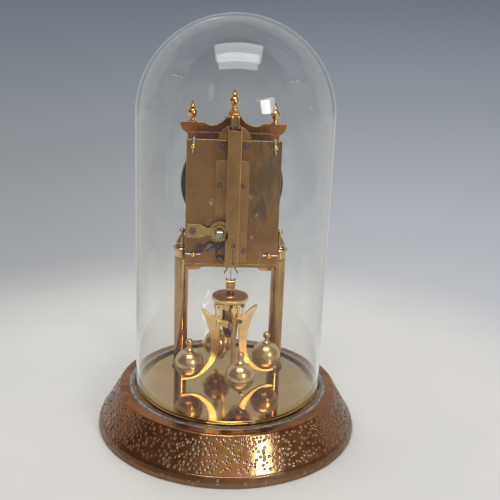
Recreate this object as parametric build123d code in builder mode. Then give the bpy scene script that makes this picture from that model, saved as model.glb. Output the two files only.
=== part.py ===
from build123d import *

import os
from math import atan2, cos, degrees, hypot, radians, sin

# Anniversary clock (torsion-pendulum clock), millimetres, +Z up, standing on z = 0.
# The origin is the middle of the base's underside. The dial faces -Y and the winding square +Y.

# ---------------------------------------------------------------- driving dimensions
foot_radius = 94.0            # spun base, at the table
rim_radius = 78.5             # top edge of the cone of the spun base
rim_z = 30.6
band_z = 7.6                  # height of the straight band round the foot
sheet = 1.2                   # thickness of the spun copper
seat_radius = 68.8            # turned brass base plate
plate_z = 31.5                # polished top of the base plate
plate_low = 28.3
groove_z = 28.0               # floor of the groove that holds the dome
plateau_radius = 60.9

dome_radius = 66.75           # outside of the glass
dome_wall = 2.0
dome_top = 294.1

axis_y = 2.0                  # the suspension hangs here, behind the movement

movement_width = 66.0         # movement plates
movement_low = 119.5
movement_high = 209.15
plate_thick = 2.0
rear_face = -7.6              # outer face of the back plate
plate_gap = 24.0
back_inner = rear_face - plate_thick
front_inner = back_inner - plate_gap
front_face = front_inner - plate_thick

pillar_x = 35.8
pillar_y = -25.9
pillar_radius = 5.2
pillar_screw_radius = 1.6
platform_thick = 2.2
platform_low = movement_low - platform_thick
stud_radius = 2.5

post_places = [(-28.3, 204.8), (28.3, 204.8), (-26.9, 126.9), (26.9, 126.9)]
post_tail_radius = 1.95
movement_screw_y = -21.0
movement_screw_radius = 1.3
movement_screw_length = 9.0

pediment_thick = 1.5
dial_centre_z = 170.7
dial_radius = 37.3
dial_back = -38.6
dial_thick = 1.2

arbor_radius = 0.8
pivot_radius = 0.5
running = 0.05                # radial clearance of a running fit
sink_radius = 1.9             # oil sink round a pivot hole
sink_depth = 0.6

# Arbors of the train as (x, z), from the barrel to the escape wheel.
barrel_at = (8.7, 144.4)
first_at = (-15.06, 140.7)
second_at = (-17.35, 156.5)
fourth_at = (-13.45, 170.1)
centre_at = (0.0, dial_centre_z)
third_at = (14.5, 165.2)
escape_at = (9.0, 181.0)
anchor_at = (0.0, 197.0)
minute_at = (7.66, 164.27)

ratchet_radius = 8.2
winding_square = 4.4

pendulum_angle = 15.0         # turn of the cross of arms about the suspension
ball_reach = 29.0             # suspension to ball centre
ball_radius = 10.5
ball_z = 50.0
disc_z = 96.4
disc_radius = 13.0


# ---------------------------------------------------------------- planes and shared shapes
def level(z, x=0.0, y=0.0):
    """A horizontal plane at height z, facing up."""
    return Plane(origin=(x, y, z), x_dir=(1, 0, 0), z_dir=(0, 0, 1))


def across(y, at=(0.0, 0.0)):
    """A plane square to the arbors, facing the dial: local x is +X and local y is +Z."""
    return Plane(origin=(at[0], y, at[1]), x_dir=(1, 0, 0), z_dir=(0, -1, 0))


def facing_rear(y, at=(0.0, 0.0)):
    """A plane square to the arbors, facing away from the dial."""
    return Plane(origin=(at[0], y, at[1]), x_dir=(-1, 0, 0), z_dir=(0, 1, 0))


def disc(plane, radius, height, mode=Mode.ADD):
    """A straight cylinder standing on a plane, or a hole of that size."""
    with BuildSketch(plane) as face:
        Circle(radius)
    extrude(face.sketch, amount=height, mode=mode)


def slab(plane, width, length, height, mode=Mode.ADD):
    """A rectangular block standing on a plane, centred on it."""
    with BuildSketch(plane) as face:
        Rectangle(width, length)
    extrude(face.sketch, amount=height, mode=mode)


def turn(outline, x=0.0, y=0.0, mode=Mode.ADD):
    """Turns a half outline of (radius, height) points about the vertical axis at x, y."""
    with BuildSketch(Plane(origin=(x, y, 0), x_dir=(1, 0, 0), z_dir=(0, -1, 0))) as profile:
        with BuildLine():
            Polyline(*outline, close=True)
        make_face()
    revolve(profile.sketch, axis=Axis((x, y, 0), (0, 0, 1)), mode=mode)


def turn_arbor(outline, at, mode=Mode.ADD):
    """Turns a half outline of (radius, y) points about the arbor line at (x, z)."""
    with BuildSketch(level(at[1], at[0])) as profile:
        with BuildLine():
            Polyline(*outline, close=True)
        make_face()
    revolve(profile.sketch, axis=Axis((at[0], 0, at[1]), (0, 1, 0)), mode=mode)


def ball(radius, x, y, z):
    """A ball joined to the part at x, y, z."""
    with Locations((x, y, z)):
        Sphere(radius)


def screw(seat, head_radius, head_height, shank_radius, shank_length, slot_turn=0.0):
    """A slotted screw whose head stands on seat and whose shank goes through it."""
    disc(seat, head_radius, head_height)
    disc(seat, shank_radius, -shank_length)
    with BuildSketch(seat.offset(head_height)) as slot:
        Rectangle(2.4 * head_radius, 0.28 * head_radius, rotation=slot_turn)
    extrude(slot.sketch, amount=-0.6 * head_height, mode=Mode.SUBTRACT)


def place_in(depth):
    """The y of a layer at some depth from the inner face of the back plate."""
    return back_inner - depth


def heading(start, end):
    """The angle from one arbor to another, in degrees."""
    return degrees(atan2(end[1] - start[1], end[0] - start[0]))


def spacing(start, end):
    """The distance between two arbors."""
    return hypot(end[0] - start[0], end[1] - start[1])


def module_of(start, end, teeth, leaves):
    """The module that makes a wheel and a pinion mesh at their arbor spacing."""
    return 2 * spacing(start, end) / (teeth + leaves)


def toothed(plane, teeth, module, thickness, tooth_at, bore, spokes=0, hub=0.0):
    """A spur wheel on a plane: narrow clock teeth, one of them at angle tooth_at."""
    pitch = teeth * module / 2
    root = pitch - 1.2 * module
    tip = pitch + 0.7 * module
    step = 360 / teeth
    widths = [(root, 0.26), (pitch, 0.17), (tip, 0.07)]
    outline = []
    for tooth in range(teeth):
        middle = tooth_at + tooth * step
        rising = [(radius, middle - share * step) for radius, share in widths]
        falling = [(radius, middle + share * step) for radius, share in reversed(widths)]
        for radius, angle in rising + falling:
            outline.append((radius * cos(radians(angle)), radius * sin(radians(angle))))
    with BuildSketch(plane) as face:
        with BuildLine():
            Polyline(*outline, close=True)
        make_face()
        if spokes:
            Circle(root - 1.3, mode=Mode.SUBTRACT)
            Circle(hub)
            with PolarLocations(0, spokes, start_angle=tooth_at):
                Rectangle(root - 1.0, 1.3, align=(Align.MIN, Align.CENTER))
        Circle(bore, mode=Mode.SUBTRACT)
    extrude(face.sketch, amount=thickness)


def arbor(at, sections):
    """A steel arbor between the plates, pivoted in both, with thicker sections (radius, from, to)."""
    rear = rear_face
    front = front_face
    shake = 0.1
    disc(across(rear, at), pivot_radius, rear - front)
    disc(across(back_inner - shake, at), arbor_radius, plate_gap - 2 * shake)
    for radius, start, end in sections:
        disc(across(place_in(start), at), radius, end - start)


os.makedirs("parts", exist_ok=True)

# ---------------------------------------------------------------- base
shelf_radius = 66.0
shelf_z = 24.8
wall_radius = 70.2
plate_under_z = shelf_z + sheet

with BuildPart() as base_skirt:
    turn([
        (91.0, 0), (93.6, 0), (foot_radius, 0.6), (92.5, band_z - 0.3), (91.9, band_z),
        (rim_radius + 0.3, rim_z - 0.8), (rim_radius - 0.5, rim_z - 0.1), (77.6, rim_z), (wall_radius, 30.9),
        (wall_radius, plate_under_z), (shelf_radius, plate_under_z), (shelf_radius, shelf_z),
        (wall_radius + sheet, shelf_z), (wall_radius + sheet, 29.6), (77.0, 29.3), (90.4, band_z - 0.4),
        (91.3, 2.0), (91.0, 1.2),
    ])

with BuildPart() as base_plate:
    turn([
        (0, plate_low), (58.0, plate_low), (59.5, plate_under_z), (seat_radius, plate_under_z), (seat_radius, 31.2),
        (seat_radius - 0.2, 31.4), (67.9, 31.4), (67.9, groove_z), (62.4, groove_z), (62.4, 30.2),
        (61.6, 30.4), (61.5, 31.1), (plateau_radius, plate_z), (0, plate_z),
    ])
    for side in (-1, 1):
        disc(level(plate_low, side * pillar_x, pillar_y), 2.05, 4.0, Mode.SUBTRACT)

with BuildPart() as solder_seam:
    turn([
        (seat_radius, 28.5), (wall_radius, 28.5), (wall_radius, 30.9), (wall_radius - 0.4, 31.2),
        (seat_radius + 0.4, 31.2), (seat_radius, 31.0),
    ])

# ---------------------------------------------------------------- glass dome
crown_z = dome_top - dome_radius

with BuildPart() as glass_dome:
    with BuildSketch(Plane.XZ) as dome_profile:
        with BuildLine():
            outer_wall = Line((dome_radius, groove_z), (dome_radius, crown_z))
            crown = CenterArc((0, crown_z), dome_radius, 0, 90)
            Line(crown @ 1, (0, dome_top - dome_wall))
            CenterArc((0, crown_z), dome_radius - dome_wall, 90, -90)
            Line((dome_radius - dome_wall, crown_z), (dome_radius - dome_wall, groove_z))
            Line((dome_radius - dome_wall, groove_z), outer_wall @ 0)
        make_face()
    revolve(dome_profile.sketch, axis=Axis.Z)

# ---------------------------------------------------------------- pillars and platform
with BuildPart() as pillars:
    for side in (-1, 1):
        turn([
            (0, plate_z), (6.5, plate_z), (6.7, 32.2), (6.5, 33.3), (5.7, 33.9), (5.5, 35.1), (pillar_radius, 35.5),
            (pillar_radius, platform_low), (stud_radius, platform_low), (stud_radius, 123.4),
            (stud_radius - 0.4, 123.8), (0, 123.8),
        ], side * pillar_x, pillar_y)
        disc(level(plate_z, side * pillar_x, pillar_y), pillar_screw_radius, 10.5, Mode.SUBTRACT)

with BuildPart() as platform:
    with BuildSketch(level(platform_low)) as platform_outline:
        with Locations((0, (rear_face + front_face) / 2)):
            Rectangle(movement_width, rear_face - front_face)
        for side in (-1, 1):
            with Locations((side * pillar_x, pillar_y)):
                Circle(pillar_radius)
        for side in (-1, 1):
            with Locations((side * pillar_x, pillar_y)):
                Circle(stud_radius + running, mode=Mode.SUBTRACT)
            with Locations((side * post_places[3][0], movement_screw_y)):
                Circle(movement_screw_radius + running, mode=Mode.SUBTRACT)
    extrude(platform_outline.sketch, amount=platform_thick)

with BuildPart() as pillar_caps:
    for side in (-1, 1):
        turn([
            (0, movement_low), (pillar_radius, movement_low), (pillar_radius, 124.7), (6.2, 124.9), (6.6, 125.4),
            (6.6, 126.2), (6.2, 126.6), (4.7, 126.8), (4.9, 127.5), (4.6, 128.2), (3.5, 128.6), (3.5, 129.1),
            (4.5, 129.5), (4.6, 130.1), (1.2, 135.8), (1.2, 137.0), (0, 137.0),
        ], side * pillar_x, pillar_y)
        ball(2.3, side * pillar_x, pillar_y, 138.3)
        disc(level(movement_low, side * pillar_x, pillar_y), stud_radius + running, 4.6, Mode.SUBTRACT)

# ---------------------------------------------------------------- movement frame
train_pivots = [first_at, second_at, fourth_at, centre_at, third_at, escape_at, anchor_at]
rear_journal = 3.2
bracket_screw_places = [(-8.7, 204.8), (8.7, 204.8)]
guard_screw_places = [(9.7, 177.2), (-7.0, 177.2), (-8.9, 130.0)]
bridge_screw_at = (27.8, 144.2)
spring_screw_at = (8.1, 124.0)
click_at = (15.15, 132.2)
stud_at = (22.4, 130.9)
small_shank = 0.9
bridge_thick = 1.6
guard_sheet = 0.8
bracket_thick = 1.6


def plate_blank(inner, towards):
    """A movement plate with its post, arbor and pivot holes; inner is its inside face."""
    middle = (0, (movement_low + movement_high) / 2)
    slab(across(inner, middle), movement_width, movement_high - movement_low, towards * plate_thick)
    for at in train_pivots:
        disc(across(inner, at), pivot_radius + running, towards * plate_thick, Mode.SUBTRACT)


with BuildPart() as back_plate:
    plate_blank(back_inner, -1)
    for at in train_pivots:
        sink = [(0, rear_face), (sink_radius, rear_face), (pivot_radius + 0.3, rear_face - sink_depth),
                (0, rear_face - sink_depth)]
        turn_arbor(sink, at, Mode.SUBTRACT)
    disc(across(rear_face, barrel_at), rear_journal + running, plate_thick, Mode.SUBTRACT)
    for at in post_places:
        disc(across(rear_face, at), post_tail_radius + running, plate_thick, Mode.SUBTRACT)
    for at in bracket_screw_places + guard_screw_places + [bridge_screw_at, spring_screw_at, click_at, stud_at]:
        disc(across(rear_face, at), small_shank + running, plate_thick, Mode.SUBTRACT)
    fillet(back_plate.edges().filter_by(Axis.Y).group_by(Axis.Z)[-1], 0.5)

with BuildPart() as front_plate:
    plate_blank(front_inner, 1)
    disc(across(front_inner, centre_at), 1.1 + running, plate_thick, Mode.SUBTRACT)
    disc(across(front_inner, barrel_at), 1.5 + running, plate_thick, Mode.SUBTRACT)
    for at in post_places:
        disc(across(front_inner, at), 1.4, plate_thick, Mode.SUBTRACT)
    disc(across(front_face, minute_at), 0.8, 2.6)

pin_y = -6.6
pin_length = 11.0
pin_turns = [84.0, 96.0, 0.0, 0.0]      # the upper pins stand, the lower ones lie
pin_shifts = [0.8, 0.6, -0.9, 0.2]


def taper_pin(at, turn_by, shift, mode=Mode.ADD):
    """A tapered steel pin through the tail of a plate post, or its hole."""
    run = Vector(cos(radians(turn_by)), 0, sin(radians(turn_by)))
    start = Plane(origin=Vector(at[0], pin_y, at[1]) + run * (shift - pin_length / 2), z_dir=run)
    with BuildSketch(start) as thin_end:
        Circle(0.5)
    with BuildSketch(start.offset(pin_length)) as thick_end:
        Circle(0.74)
    loft([thin_end.sketch.face(), thick_end.sketch.face()], mode=mode)


with BuildPart() as plate_posts:
    for at in post_places:
        turn_arbor([
            (0, front_face), (1.4, front_face), (1.4, front_inner), (2.1, front_inner), (2.1, back_inner),
            (post_tail_radius, back_inner), (post_tail_radius, -5.6), (0, -5.6),
        ], at)
        ball(post_tail_radius, at[0], -5.6, at[1])
    for at, turn_by, shift in zip(post_places, pin_turns, pin_shifts):
        taper_pin(at, turn_by, shift, Mode.SUBTRACT)
    for at in post_places[2:]:
        disc(level(movement_low, at[0], movement_screw_y), movement_screw_radius, 6.8, Mode.SUBTRACT)

with BuildPart() as taper_pins:
    for at, turn_by, shift in zip(post_places, pin_turns, pin_shifts):
        taper_pin(at, turn_by, shift)

with BuildPart() as under_screws:
    for at in post_places[2:]:
        seat = level(platform_low, at[0], movement_screw_y).rotated((180, 0, 0))
        screw(seat, 2.6, 1.4, movement_screw_radius, movement_screw_length, 20)
    for side in (-1, 1):
        seat = level(plate_low, side * pillar_x, pillar_y).rotated((180, 0, 0))
        screw(seat, 4.6, 2.2, pillar_screw_radius, 12.5, 30)

# ---------------------------------------------------------------- pediment and dial
pediment_window = 25.0
pediment_half = 33.2
pediment_reach = 38.4         # half the width of its cornice
peak_z = 225.2
shoulder_z = 216.0
foot_z = 105.2
finial_x = 29.6
dial_feet = [(-16.0, dial_centre_z + 25.5), (16.0, dial_centre_z + 25.5), (-16.0, dial_centre_z - 25.5),
             (16.0, dial_centre_z - 25.5)]
dial_foot_radius = 1.4

with BuildPart() as pediment_plate:
    with BuildSketch(across(front_face)) as pediment_outline:
        with BuildLine():
            Line((0, peak_z), (3.0, peak_z))
            Line((3.0, peak_z), (4.2, 222.2))
            ThreePointArc((4.2, 222.2), (8.4, 216.6), (15.3, 213.7))
            ThreePointArc((15.3, 213.7), (18.8, 214.3), (21.4, shoulder_z))
            Line((21.4, shoulder_z), (pediment_reach, shoulder_z))
            Line((pediment_reach, shoulder_z), (38.2, 213.6))
            ThreePointArc((38.2, 213.6), (36.6, 210.2), (pediment_half, 208.0))
            Line((pediment_half, 208.0), (pediment_half, foot_z))
            Line((pediment_half, foot_z), (24.4, foot_z))
            ThreePointArc((24.4, foot_z), (21.6, 106.7), (20.6, 109.8))
            Line((20.6, 109.8), (0, 109.8))
            mirror(about=Plane.YZ)
        make_face()
        with Locations((0, dial_centre_z)):
            Circle(pediment_window, mode=Mode.SUBTRACT)
        for at in dial_feet:
            with Locations(at):
                Circle(dial_foot_radius + running, mode=Mode.SUBTRACT)
    extrude(pediment_outline.sketch, amount=pediment_thick)

finial_collar = 3.1
finial_neck = 1.1
finial_ball = 3.9
pediment_middle = front_face - pediment_thick / 2


def finial(x, base):
    """A turned finial: collar, neck, ball, short neck and pointed cone."""
    turn([
        (0, base), (finial_collar, base), (finial_collar + 0.1, base + 0.5), (finial_collar, base + 1.0),
        (2.1, base + 1.7), (1.9, base + 2.6), (2.0, base + 3.8), (finial_neck, base + 4.4),
        (finial_neck, base + 10.8), (2.3, base + 10.95), (2.4, base + 11.3), (1.3, base + 13.0),
        (0.7, base + 14.4), (0.35, base + 15.5), (0, base + 15.9),
    ], x, pediment_middle)
    ball(finial_ball, x, pediment_middle, base + 6.6)


with BuildPart() as finials:
    finial(-finial_x, shoulder_z)
    finial(0.0, peak_z)
    finial(finial_x, shoulder_z)

hour_pipe_room = 3.4
pan_sheet = 0.8
dial_seat = dial_back - pan_sheet
dial_front = dial_seat - dial_thick
pan_front = -42.0

with BuildPart() as dial_pan:
    turn_arbor([
        (hour_pipe_room, dial_back), (dial_radius - 0.6, dial_back), (dial_radius, dial_back - 0.5),
        (dial_radius, pan_front), (dial_radius - pan_sheet, pan_front), (dial_radius - pan_sheet, dial_seat),
        (hour_pipe_room, dial_seat),
    ], centre_at)
    for at in dial_feet:
        disc(across(front_face, at), dial_foot_radius, front_face - dial_back)

with BuildPart() as dial_plate:
    disc(across(dial_seat, centre_at), dial_radius - pan_sheet - running, dial_thick)
    disc(across(dial_seat, centre_at), hour_pipe_room, dial_thick, Mode.SUBTRACT)

bezel_wall = 0.7
bezel_inner = dial_radius - pan_sheet - running

with BuildPart() as dial_bezel:
    turn_arbor([
        (dial_radius, pan_front + 1.0), (dial_radius + bezel_wall, pan_front + 1.0),
        (dial_radius + bezel_wall, pan_front - 0.6), (dial_radius - 0.2, -43.6), (dial_radius - 1.8, -43.4),
        (dial_radius - 3.4, -42.2), (dial_radius - 3.4, dial_front), (bezel_inner, dial_front),
        (bezel_inner, pan_front), (dial_radius, pan_front),
    ], centre_at)

# ---------------------------------------------------------------- barrel and winding work
great_depth = 1.0
great_thick = 2.0
great_teeth = 66
first_leaves = 14
drum_start = great_depth + great_thick
drum_end = 16.0
drum_radius = 18.3
drum_wall = 1.0
hub_radius = 4.0
front_journal = 1.5
front_core = 2.0
cap_thick = 1.0

with BuildPart() as barrel:
    toothed(across(place_in(great_depth), barrel_at), great_teeth,
            module_of(barrel_at, first_at, great_teeth, first_leaves), great_thick,
            heading(barrel_at, first_at), rear_journal + running)
    disc(across(place_in(drum_start), barrel_at), drum_radius, drum_end - drum_start)
    disc(across(place_in(drum_start), barrel_at), drum_radius - drum_wall, drum_end - drum_start, Mode.SUBTRACT)

with BuildPart() as barrel_cap:
    disc(across(place_in(drum_end - cap_thick), barrel_at), drum_radius - drum_wall, cap_thick)
    disc(across(place_in(drum_end - cap_thick), barrel_at), front_core + running, cap_thick, Mode.SUBTRACT)

spring_turns = 8
spring_inside = hub_radius + 0.1
spring_strip = 0.5
coil_growth = (drum_radius - drum_wall - 0.15 - spring_strip - spring_inside) / spring_turns

with BuildPart() as mainspring:
    with BuildSketch(across(place_in(drum_start + 0.4), barrel_at)) as coil:
        with BuildLine():
            ends = []
            for edge in (0.0, spring_strip):
                for half in range(2 * spring_turns):
                    radius = spring_inside + edge + (half + 0.5) * coil_growth / 2
                    middle = coil_growth / 4 * (1 if half % 2 == 0 else -1)
                    turn_arc = CenterArc((-middle, 0), radius, 180 * (half % 2), 180)
                    if half == 0:
                        ends.append(turn_arc @ 0)
                ends.append(turn_arc @ 1)
            Line(ends[0], ends[2])
            Line(ends[1], ends[3])
        make_face()
    extrude(coil.sketch, amount=drum_end - cap_thick - drum_start - 0.8)

with BuildPart() as winding_arbor:
    turn_arbor([
        (0, front_face), (front_journal, front_face), (front_journal, front_inner + 0.1),
        (front_core, front_inner + 0.1), (front_core, place_in(drum_end - cap_thick - 0.1)),
        (hub_radius, place_in(drum_end - cap_thick - 0.1)), (hub_radius, place_in(drum_start + 0.1)),
        (rear_journal, place_in(drum_start + 0.1)), (rear_journal, rear_face + 0.1), (0, rear_face + 0.1),
    ], barrel_at)
    slab(facing_rear(rear_face + 0.1, barrel_at), winding_square, winding_square, 10.5)
    chamfer(winding_arbor.edges().group_by(Axis.Y)[-1], 0.4)

ratchet_teeth = 20
ratchet_y = rear_face + 0.1
ratchet_thick = 1.6


def saw_outline(at, teeth, shape, direction=1):
    """Saw teeth about a centre; shape gives each tooth's (radius, share of a step)."""
    step = 360 / teeth
    outline = []
    for tooth in range(teeth):
        for radius, share in shape:
            angle = radians(direction * (tooth + share) * step)
            outline.append((at[0] + radius * cos(angle), at[1] + radius * sin(angle)))
    return outline


with BuildPart() as ratchet_wheel:
    with BuildSketch(across(ratchet_y + ratchet_thick)) as ratchet_face:
        with BuildLine():
            tooth = [(ratchet_radius - 1.3, 0.0), (ratchet_radius, 0.86), (ratchet_radius, 0.96)]
            Polyline(*saw_outline(barrel_at, ratchet_teeth, tooth), close=True)
        make_face()
        with Locations(barrel_at):
            Rectangle(winding_square, winding_square, mode=Mode.SUBTRACT)
    extrude(ratchet_face.sketch, amount=ratchet_thick)


def bar(start, end, width):
    """A round-ended bar from start to end, in the sketch being drawn."""
    with Locations(((start[0] + end[0]) / 2, (start[1] + end[1]) / 2)):
        SlotCenterToCenter(spacing(start, end), width, rotation=heading(start, end))


click_tip = (6.6, 134.0)
click_thick = 1.6
click_bore = 1.5
click_neck = click_thick + 0.15

with BuildPart() as click:
    with BuildSketch(across(ratchet_y + click_thick)) as click_face:
        bar(click_at, click_tip, 3.0)
        with Locations(click_at):
            Circle(2.9)
        with BuildLine():
            Polyline((9.6, 134.2), (6.9, 136.15), (6.2, 136.0), (5.4, 133.6), close=True)
        make_face()
        with Locations(click_at):
            Circle(click_bore + running, mode=Mode.SUBTRACT)
    extrude(click_face.sketch, amount=click_thick)

click_spring_foot = 0.6

with BuildPart() as click_spring:
    with BuildSketch(across(rear_face + click_spring_foot)) as spring_foot:
        with Locations(spring_screw_at):
            Circle(2.4)
            Circle(small_shank + running, mode=Mode.SUBTRACT)
    extrude(spring_foot.sketch, amount=click_spring_foot)
    with BuildSketch(across(-6.1)) as leaf:
        bar((10.25, 124.2), (10.8, 127.6), 0.4)
        bar((10.8, 127.6), (9.6, 130.2), 0.4)
        bar((9.6, 130.2), (7.4, 132.05), 0.4)
    extrude(leaf.sketch, amount=-6.1 - rear_face)

bridge_arm_low = -5.7
bridge_arm_thick = 1.2
boss_radius = 4.7

with BuildPart() as click_bridge:
    with BuildSketch(across(rear_face + bridge_thick)) as bridge_foot:
        with Locations((26.95, barrel_at[1])):
            RectangleRounded(10.3, 10.0, 0.4)
        with Locations(bridge_screw_at):
            Circle(small_shank + running, mode=Mode.SUBTRACT)
    extrude(bridge_foot.sketch, amount=bridge_thick)
    slab(across(bridge_arm_low + bridge_arm_thick, (21.1, barrel_at[1])), 1.6, 8.0,
         bridge_arm_low + bridge_arm_thick - rear_face)
    with BuildSketch(across(bridge_arm_low + bridge_arm_thick)) as bridge_arm:
        with Locations(barrel_at):
            Circle(boss_radius)
        with BuildLine():
            Polyline((21.9, barrel_at[1] + 4.0), (20.0, barrel_at[1] + 4.0), (17.4, barrel_at[1] + 2.4),
                     (10.0, barrel_at[1] + 3.4), (10.0, barrel_at[1] - 3.4), (17.4, barrel_at[1] - 2.4),
                     (20.0, barrel_at[1] - 4.0), (21.9, barrel_at[1] - 4.0), close=True)
        make_face()
        with Locations(barrel_at):
            Circle(rear_journal, mode=Mode.SUBTRACT)
    extrude(bridge_arm.sketch, amount=bridge_arm_thick)

# ---------------------------------------------------------------- train
wheel_thick = 1.0
layers = {"first": 18.1, "second": 21.2, "fourth": 8.0, "centre": 18.6, "third": 21.4, "escape": 5.2}
pinion_length = 2.4


def pinion(at, leaves, module, depth, tooth_at):
    """A steel pinion cut on its arbor, centred on the wheel that drives it."""
    start = depth + wheel_thick / 2 - pinion_length / 2
    toothed(across(place_in(start), at), leaves, module, pinion_length, tooth_at, arbor_radius)


def gap_towards(here, there, leaves):
    """The angle of a tooth beside the gap that faces another arbor."""
    return heading(here, there) + 180 / leaves


def train_arbor(at, driver_at, driver_teeth, leaves, driver_depth, wheel_depth):
    """An arbor with its pinion and the seat of its wheel."""
    arbor(at, [(arbor_radius + 0.5, wheel_depth - 0.8, wheel_depth)])
    pinion(at, leaves, module_of(driver_at, at, driver_teeth, leaves), driver_depth,
           gap_towards(at, driver_at, leaves))


def train_wheel(at, driven_at, teeth, leaves, depth):
    """A brass wheel, crossed out with five spokes, that drives the pinion at driven_at."""
    toothed(across(place_in(depth), at), teeth, module_of(at, driven_at, teeth, leaves), wheel_thick,
            heading(at, driven_at), arbor_radius, 5, 2.6)


with BuildPart() as first_arbor:
    train_arbor(first_at, barrel_at, great_teeth, first_leaves, great_depth + 0.5, layers["first"])
with BuildPart() as first_wheel:
    train_wheel(first_at, second_at, 60, 10, layers["first"])

with BuildPart() as second_arbor:
    train_arbor(second_at, first_at, 60, 10, layers["first"], layers["second"])
with BuildPart() as second_wheel:
    train_wheel(second_at, fourth_at, 60, 10, layers["second"])

with BuildPart() as fourth_arbor:
    train_arbor(fourth_at, second_at, 60, 10, layers["second"], layers["fourth"])
with BuildPart() as fourth_wheel:
    train_wheel(fourth_at, centre_at, 60, 10, layers["fourth"])

centre_end = -44.6

with BuildPart() as centre_arbor:
    train_arbor(centre_at, fourth_at, 60, 10, layers["fourth"], layers["centre"])
    disc(across(place_in(plate_gap - 0.1), centre_at), 1.1, place_in(plate_gap - 0.1) - centre_end)
with BuildPart() as centre_wheel:
    train_wheel(centre_at, third_at, 54, 18, layers["centre"])

with BuildPart() as third_arbor:
    train_arbor(third_at, centre_at, 54, 18, layers["centre"], layers["third"])
with BuildPart() as third_wheel:
    train_wheel(third_at, escape_at, 60, 18, layers["third"])

escape_radius = 10.2
escape_teeth = 24
escape_thick = 0.8

with BuildPart() as escape_arbor:
    train_arbor(escape_at, third_at, 60, 18, layers["third"], layers["escape"])

with BuildPart() as escape_wheel:
    with BuildSketch(across(place_in(layers["escape"]))) as escape_face:
        with BuildLine():
            tooth = [(escape_radius - 2.2, 0.0), (escape_radius - 2.2, 0.25), (escape_radius, 0.70),
                     (escape_radius, 0.77), (escape_radius - 2.2, 0.62)]
            Polyline(*saw_outline(escape_at, escape_teeth, tooth), close=True)
        make_face()
        with Locations(escape_at):
            Circle(escape_radius - 3.2, mode=Mode.SUBTRACT)
            Circle(2.2)
            with PolarLocations(0, 4, start_angle=20):
                Rectangle(escape_radius - 2.7, 1.0, align=(Align.MIN, Align.CENTER))
            Circle(arbor_radius, mode=Mode.SUBTRACT)
    extrude(escape_face.sketch, amount=escape_thick)

# ---------------------------------------------------------------- escapement
pallet_span = 56.25           # half the angle that the pallets embrace
pallet_clear = 0.85
anchor_y = place_in(layers["escape"]) + 0.1
anchor_hub = 2.0
fork_pin_y = -14.0
fork_pin_top = 215.0
fork_pin_radius = 0.55

with BuildPart() as anchor:
    with BuildSketch(across(anchor_y)) as anchor_face:
        with Locations(anchor_at):
            Circle(2.6)
        for side in (-1, 1):
            out = radians(heading(escape_at, anchor_at) + side * pallet_span)
            near = escape_radius + pallet_clear + 0.45
            far = escape_radius + pallet_clear + 2.6
            tip = (escape_at[0] + near * cos(out), escape_at[1] + near * sin(out))
            root = (escape_at[0] + far * cos(out), escape_at[1] + far * sin(out))
            bar(anchor_at, root, 1.5)
            bar(root, tip, 0.9)
        with Locations(anchor_at):
            Circle(arbor_radius, mode=Mode.SUBTRACT)
    extrude(anchor_face.sketch, amount=1.0)

with BuildPart() as anchor_arbor:
    arbor(anchor_at, [])
    turn_arbor([
        (0, fork_pin_y + 0.9), (anchor_hub, fork_pin_y + 0.9), (anchor_hub, anchor_y), (0, anchor_y),
    ], anchor_at)
    disc(level(anchor_at[1], 0, fork_pin_y), fork_pin_radius, fork_pin_top - anchor_at[1])

# ---------------------------------------------------------------- motion work and hands
cannon_radius = 1.65
hour_pipe_radius = 3.0
hour_hand_y = -42.0
minute_hand_y = -43.3
hand_thick = 0.45

with BuildPart() as cannon_pinion:
    toothed(across(front_face - 0.2, centre_at), 12, module_of(centre_at, minute_at, 12, 36), 1.4,
            heading(centre_at, minute_at), 1.1)
    disc(across(front_face - 0.2, centre_at), cannon_radius, front_face - 0.2 - minute_hand_y)
    disc(across(front_face - 0.2, centre_at), 1.1, front_face - 0.2 - minute_hand_y, Mode.SUBTRACT)

with BuildPart() as minute_wheel:
    toothed(across(front_face - 0.3, minute_at), 36, module_of(centre_at, minute_at, 12, 36), 0.8,
            gap_towards(minute_at, centre_at, 36), 0.8 + running)
    toothed(across(front_face - 1.1, minute_at), 10, module_of(centre_at, minute_at, 40, 10), 1.6,
            gap_towards(minute_at, centre_at, 10), 0.8 + running)

with BuildPart() as hour_wheel:
    toothed(across(front_face - 1.8, centre_at), 40, module_of(centre_at, minute_at, 40, 10), 0.8,
            heading(centre_at, minute_at), cannon_radius + running)
    disc(across(front_face - 1.8, centre_at), hour_pipe_radius, front_face - 1.8 - hour_hand_y + 0.5)
    disc(across(front_face - 1.8, centre_at), cannon_radius + running, 8.0, Mode.SUBTRACT)


def hand(y, angle, length, eye, bore, width):
    """A blued spade hand pointing at angle, anticlockwise from +X as seen from the front."""
    along = (cos(radians(angle)), 0, sin(radians(angle)))
    with BuildSketch(Plane(origin=(centre_at[0], y, centre_at[1]), x_dir=along, z_dir=(0, -1, 0))) as outline:
        with BuildLine():
            Polyline((0, width), (0.66 * length, 0.5 * width), (0.66 * length, -0.5 * width), (0, -width), close=True)
        make_face()
        with BuildLine():
            Spline((0.60 * length, 0), (0.68 * length, 2.2 * width), (0.80 * length, 0.6 * width), (length, 0))
            Spline((length, 0), (0.80 * length, -0.6 * width), (0.68 * length, -2.2 * width), (0.60 * length, 0))
        make_face()
        Circle(eye)
        Circle(bore, mode=Mode.SUBTRACT)
    extrude(outline.sketch, amount=hand_thick)


with BuildPart() as hour_hand:
    hand(hour_hand_y, 145, 20.0, 4.6, hour_pipe_radius, 1.1)

with BuildPart() as minute_hand:
    hand(minute_hand_y, 30, 30.0, 3.0, 1.1, 0.9)

with BuildPart() as hand_nut:
    turn_arbor([
        (1.1, minute_hand_y - hand_thick), (2.3, minute_hand_y - hand_thick), (2.3, -44.6), (1.6, -45.2),
        (0, -45.4), (0, centre_end), (1.1, centre_end),
    ], centre_at)

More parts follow.
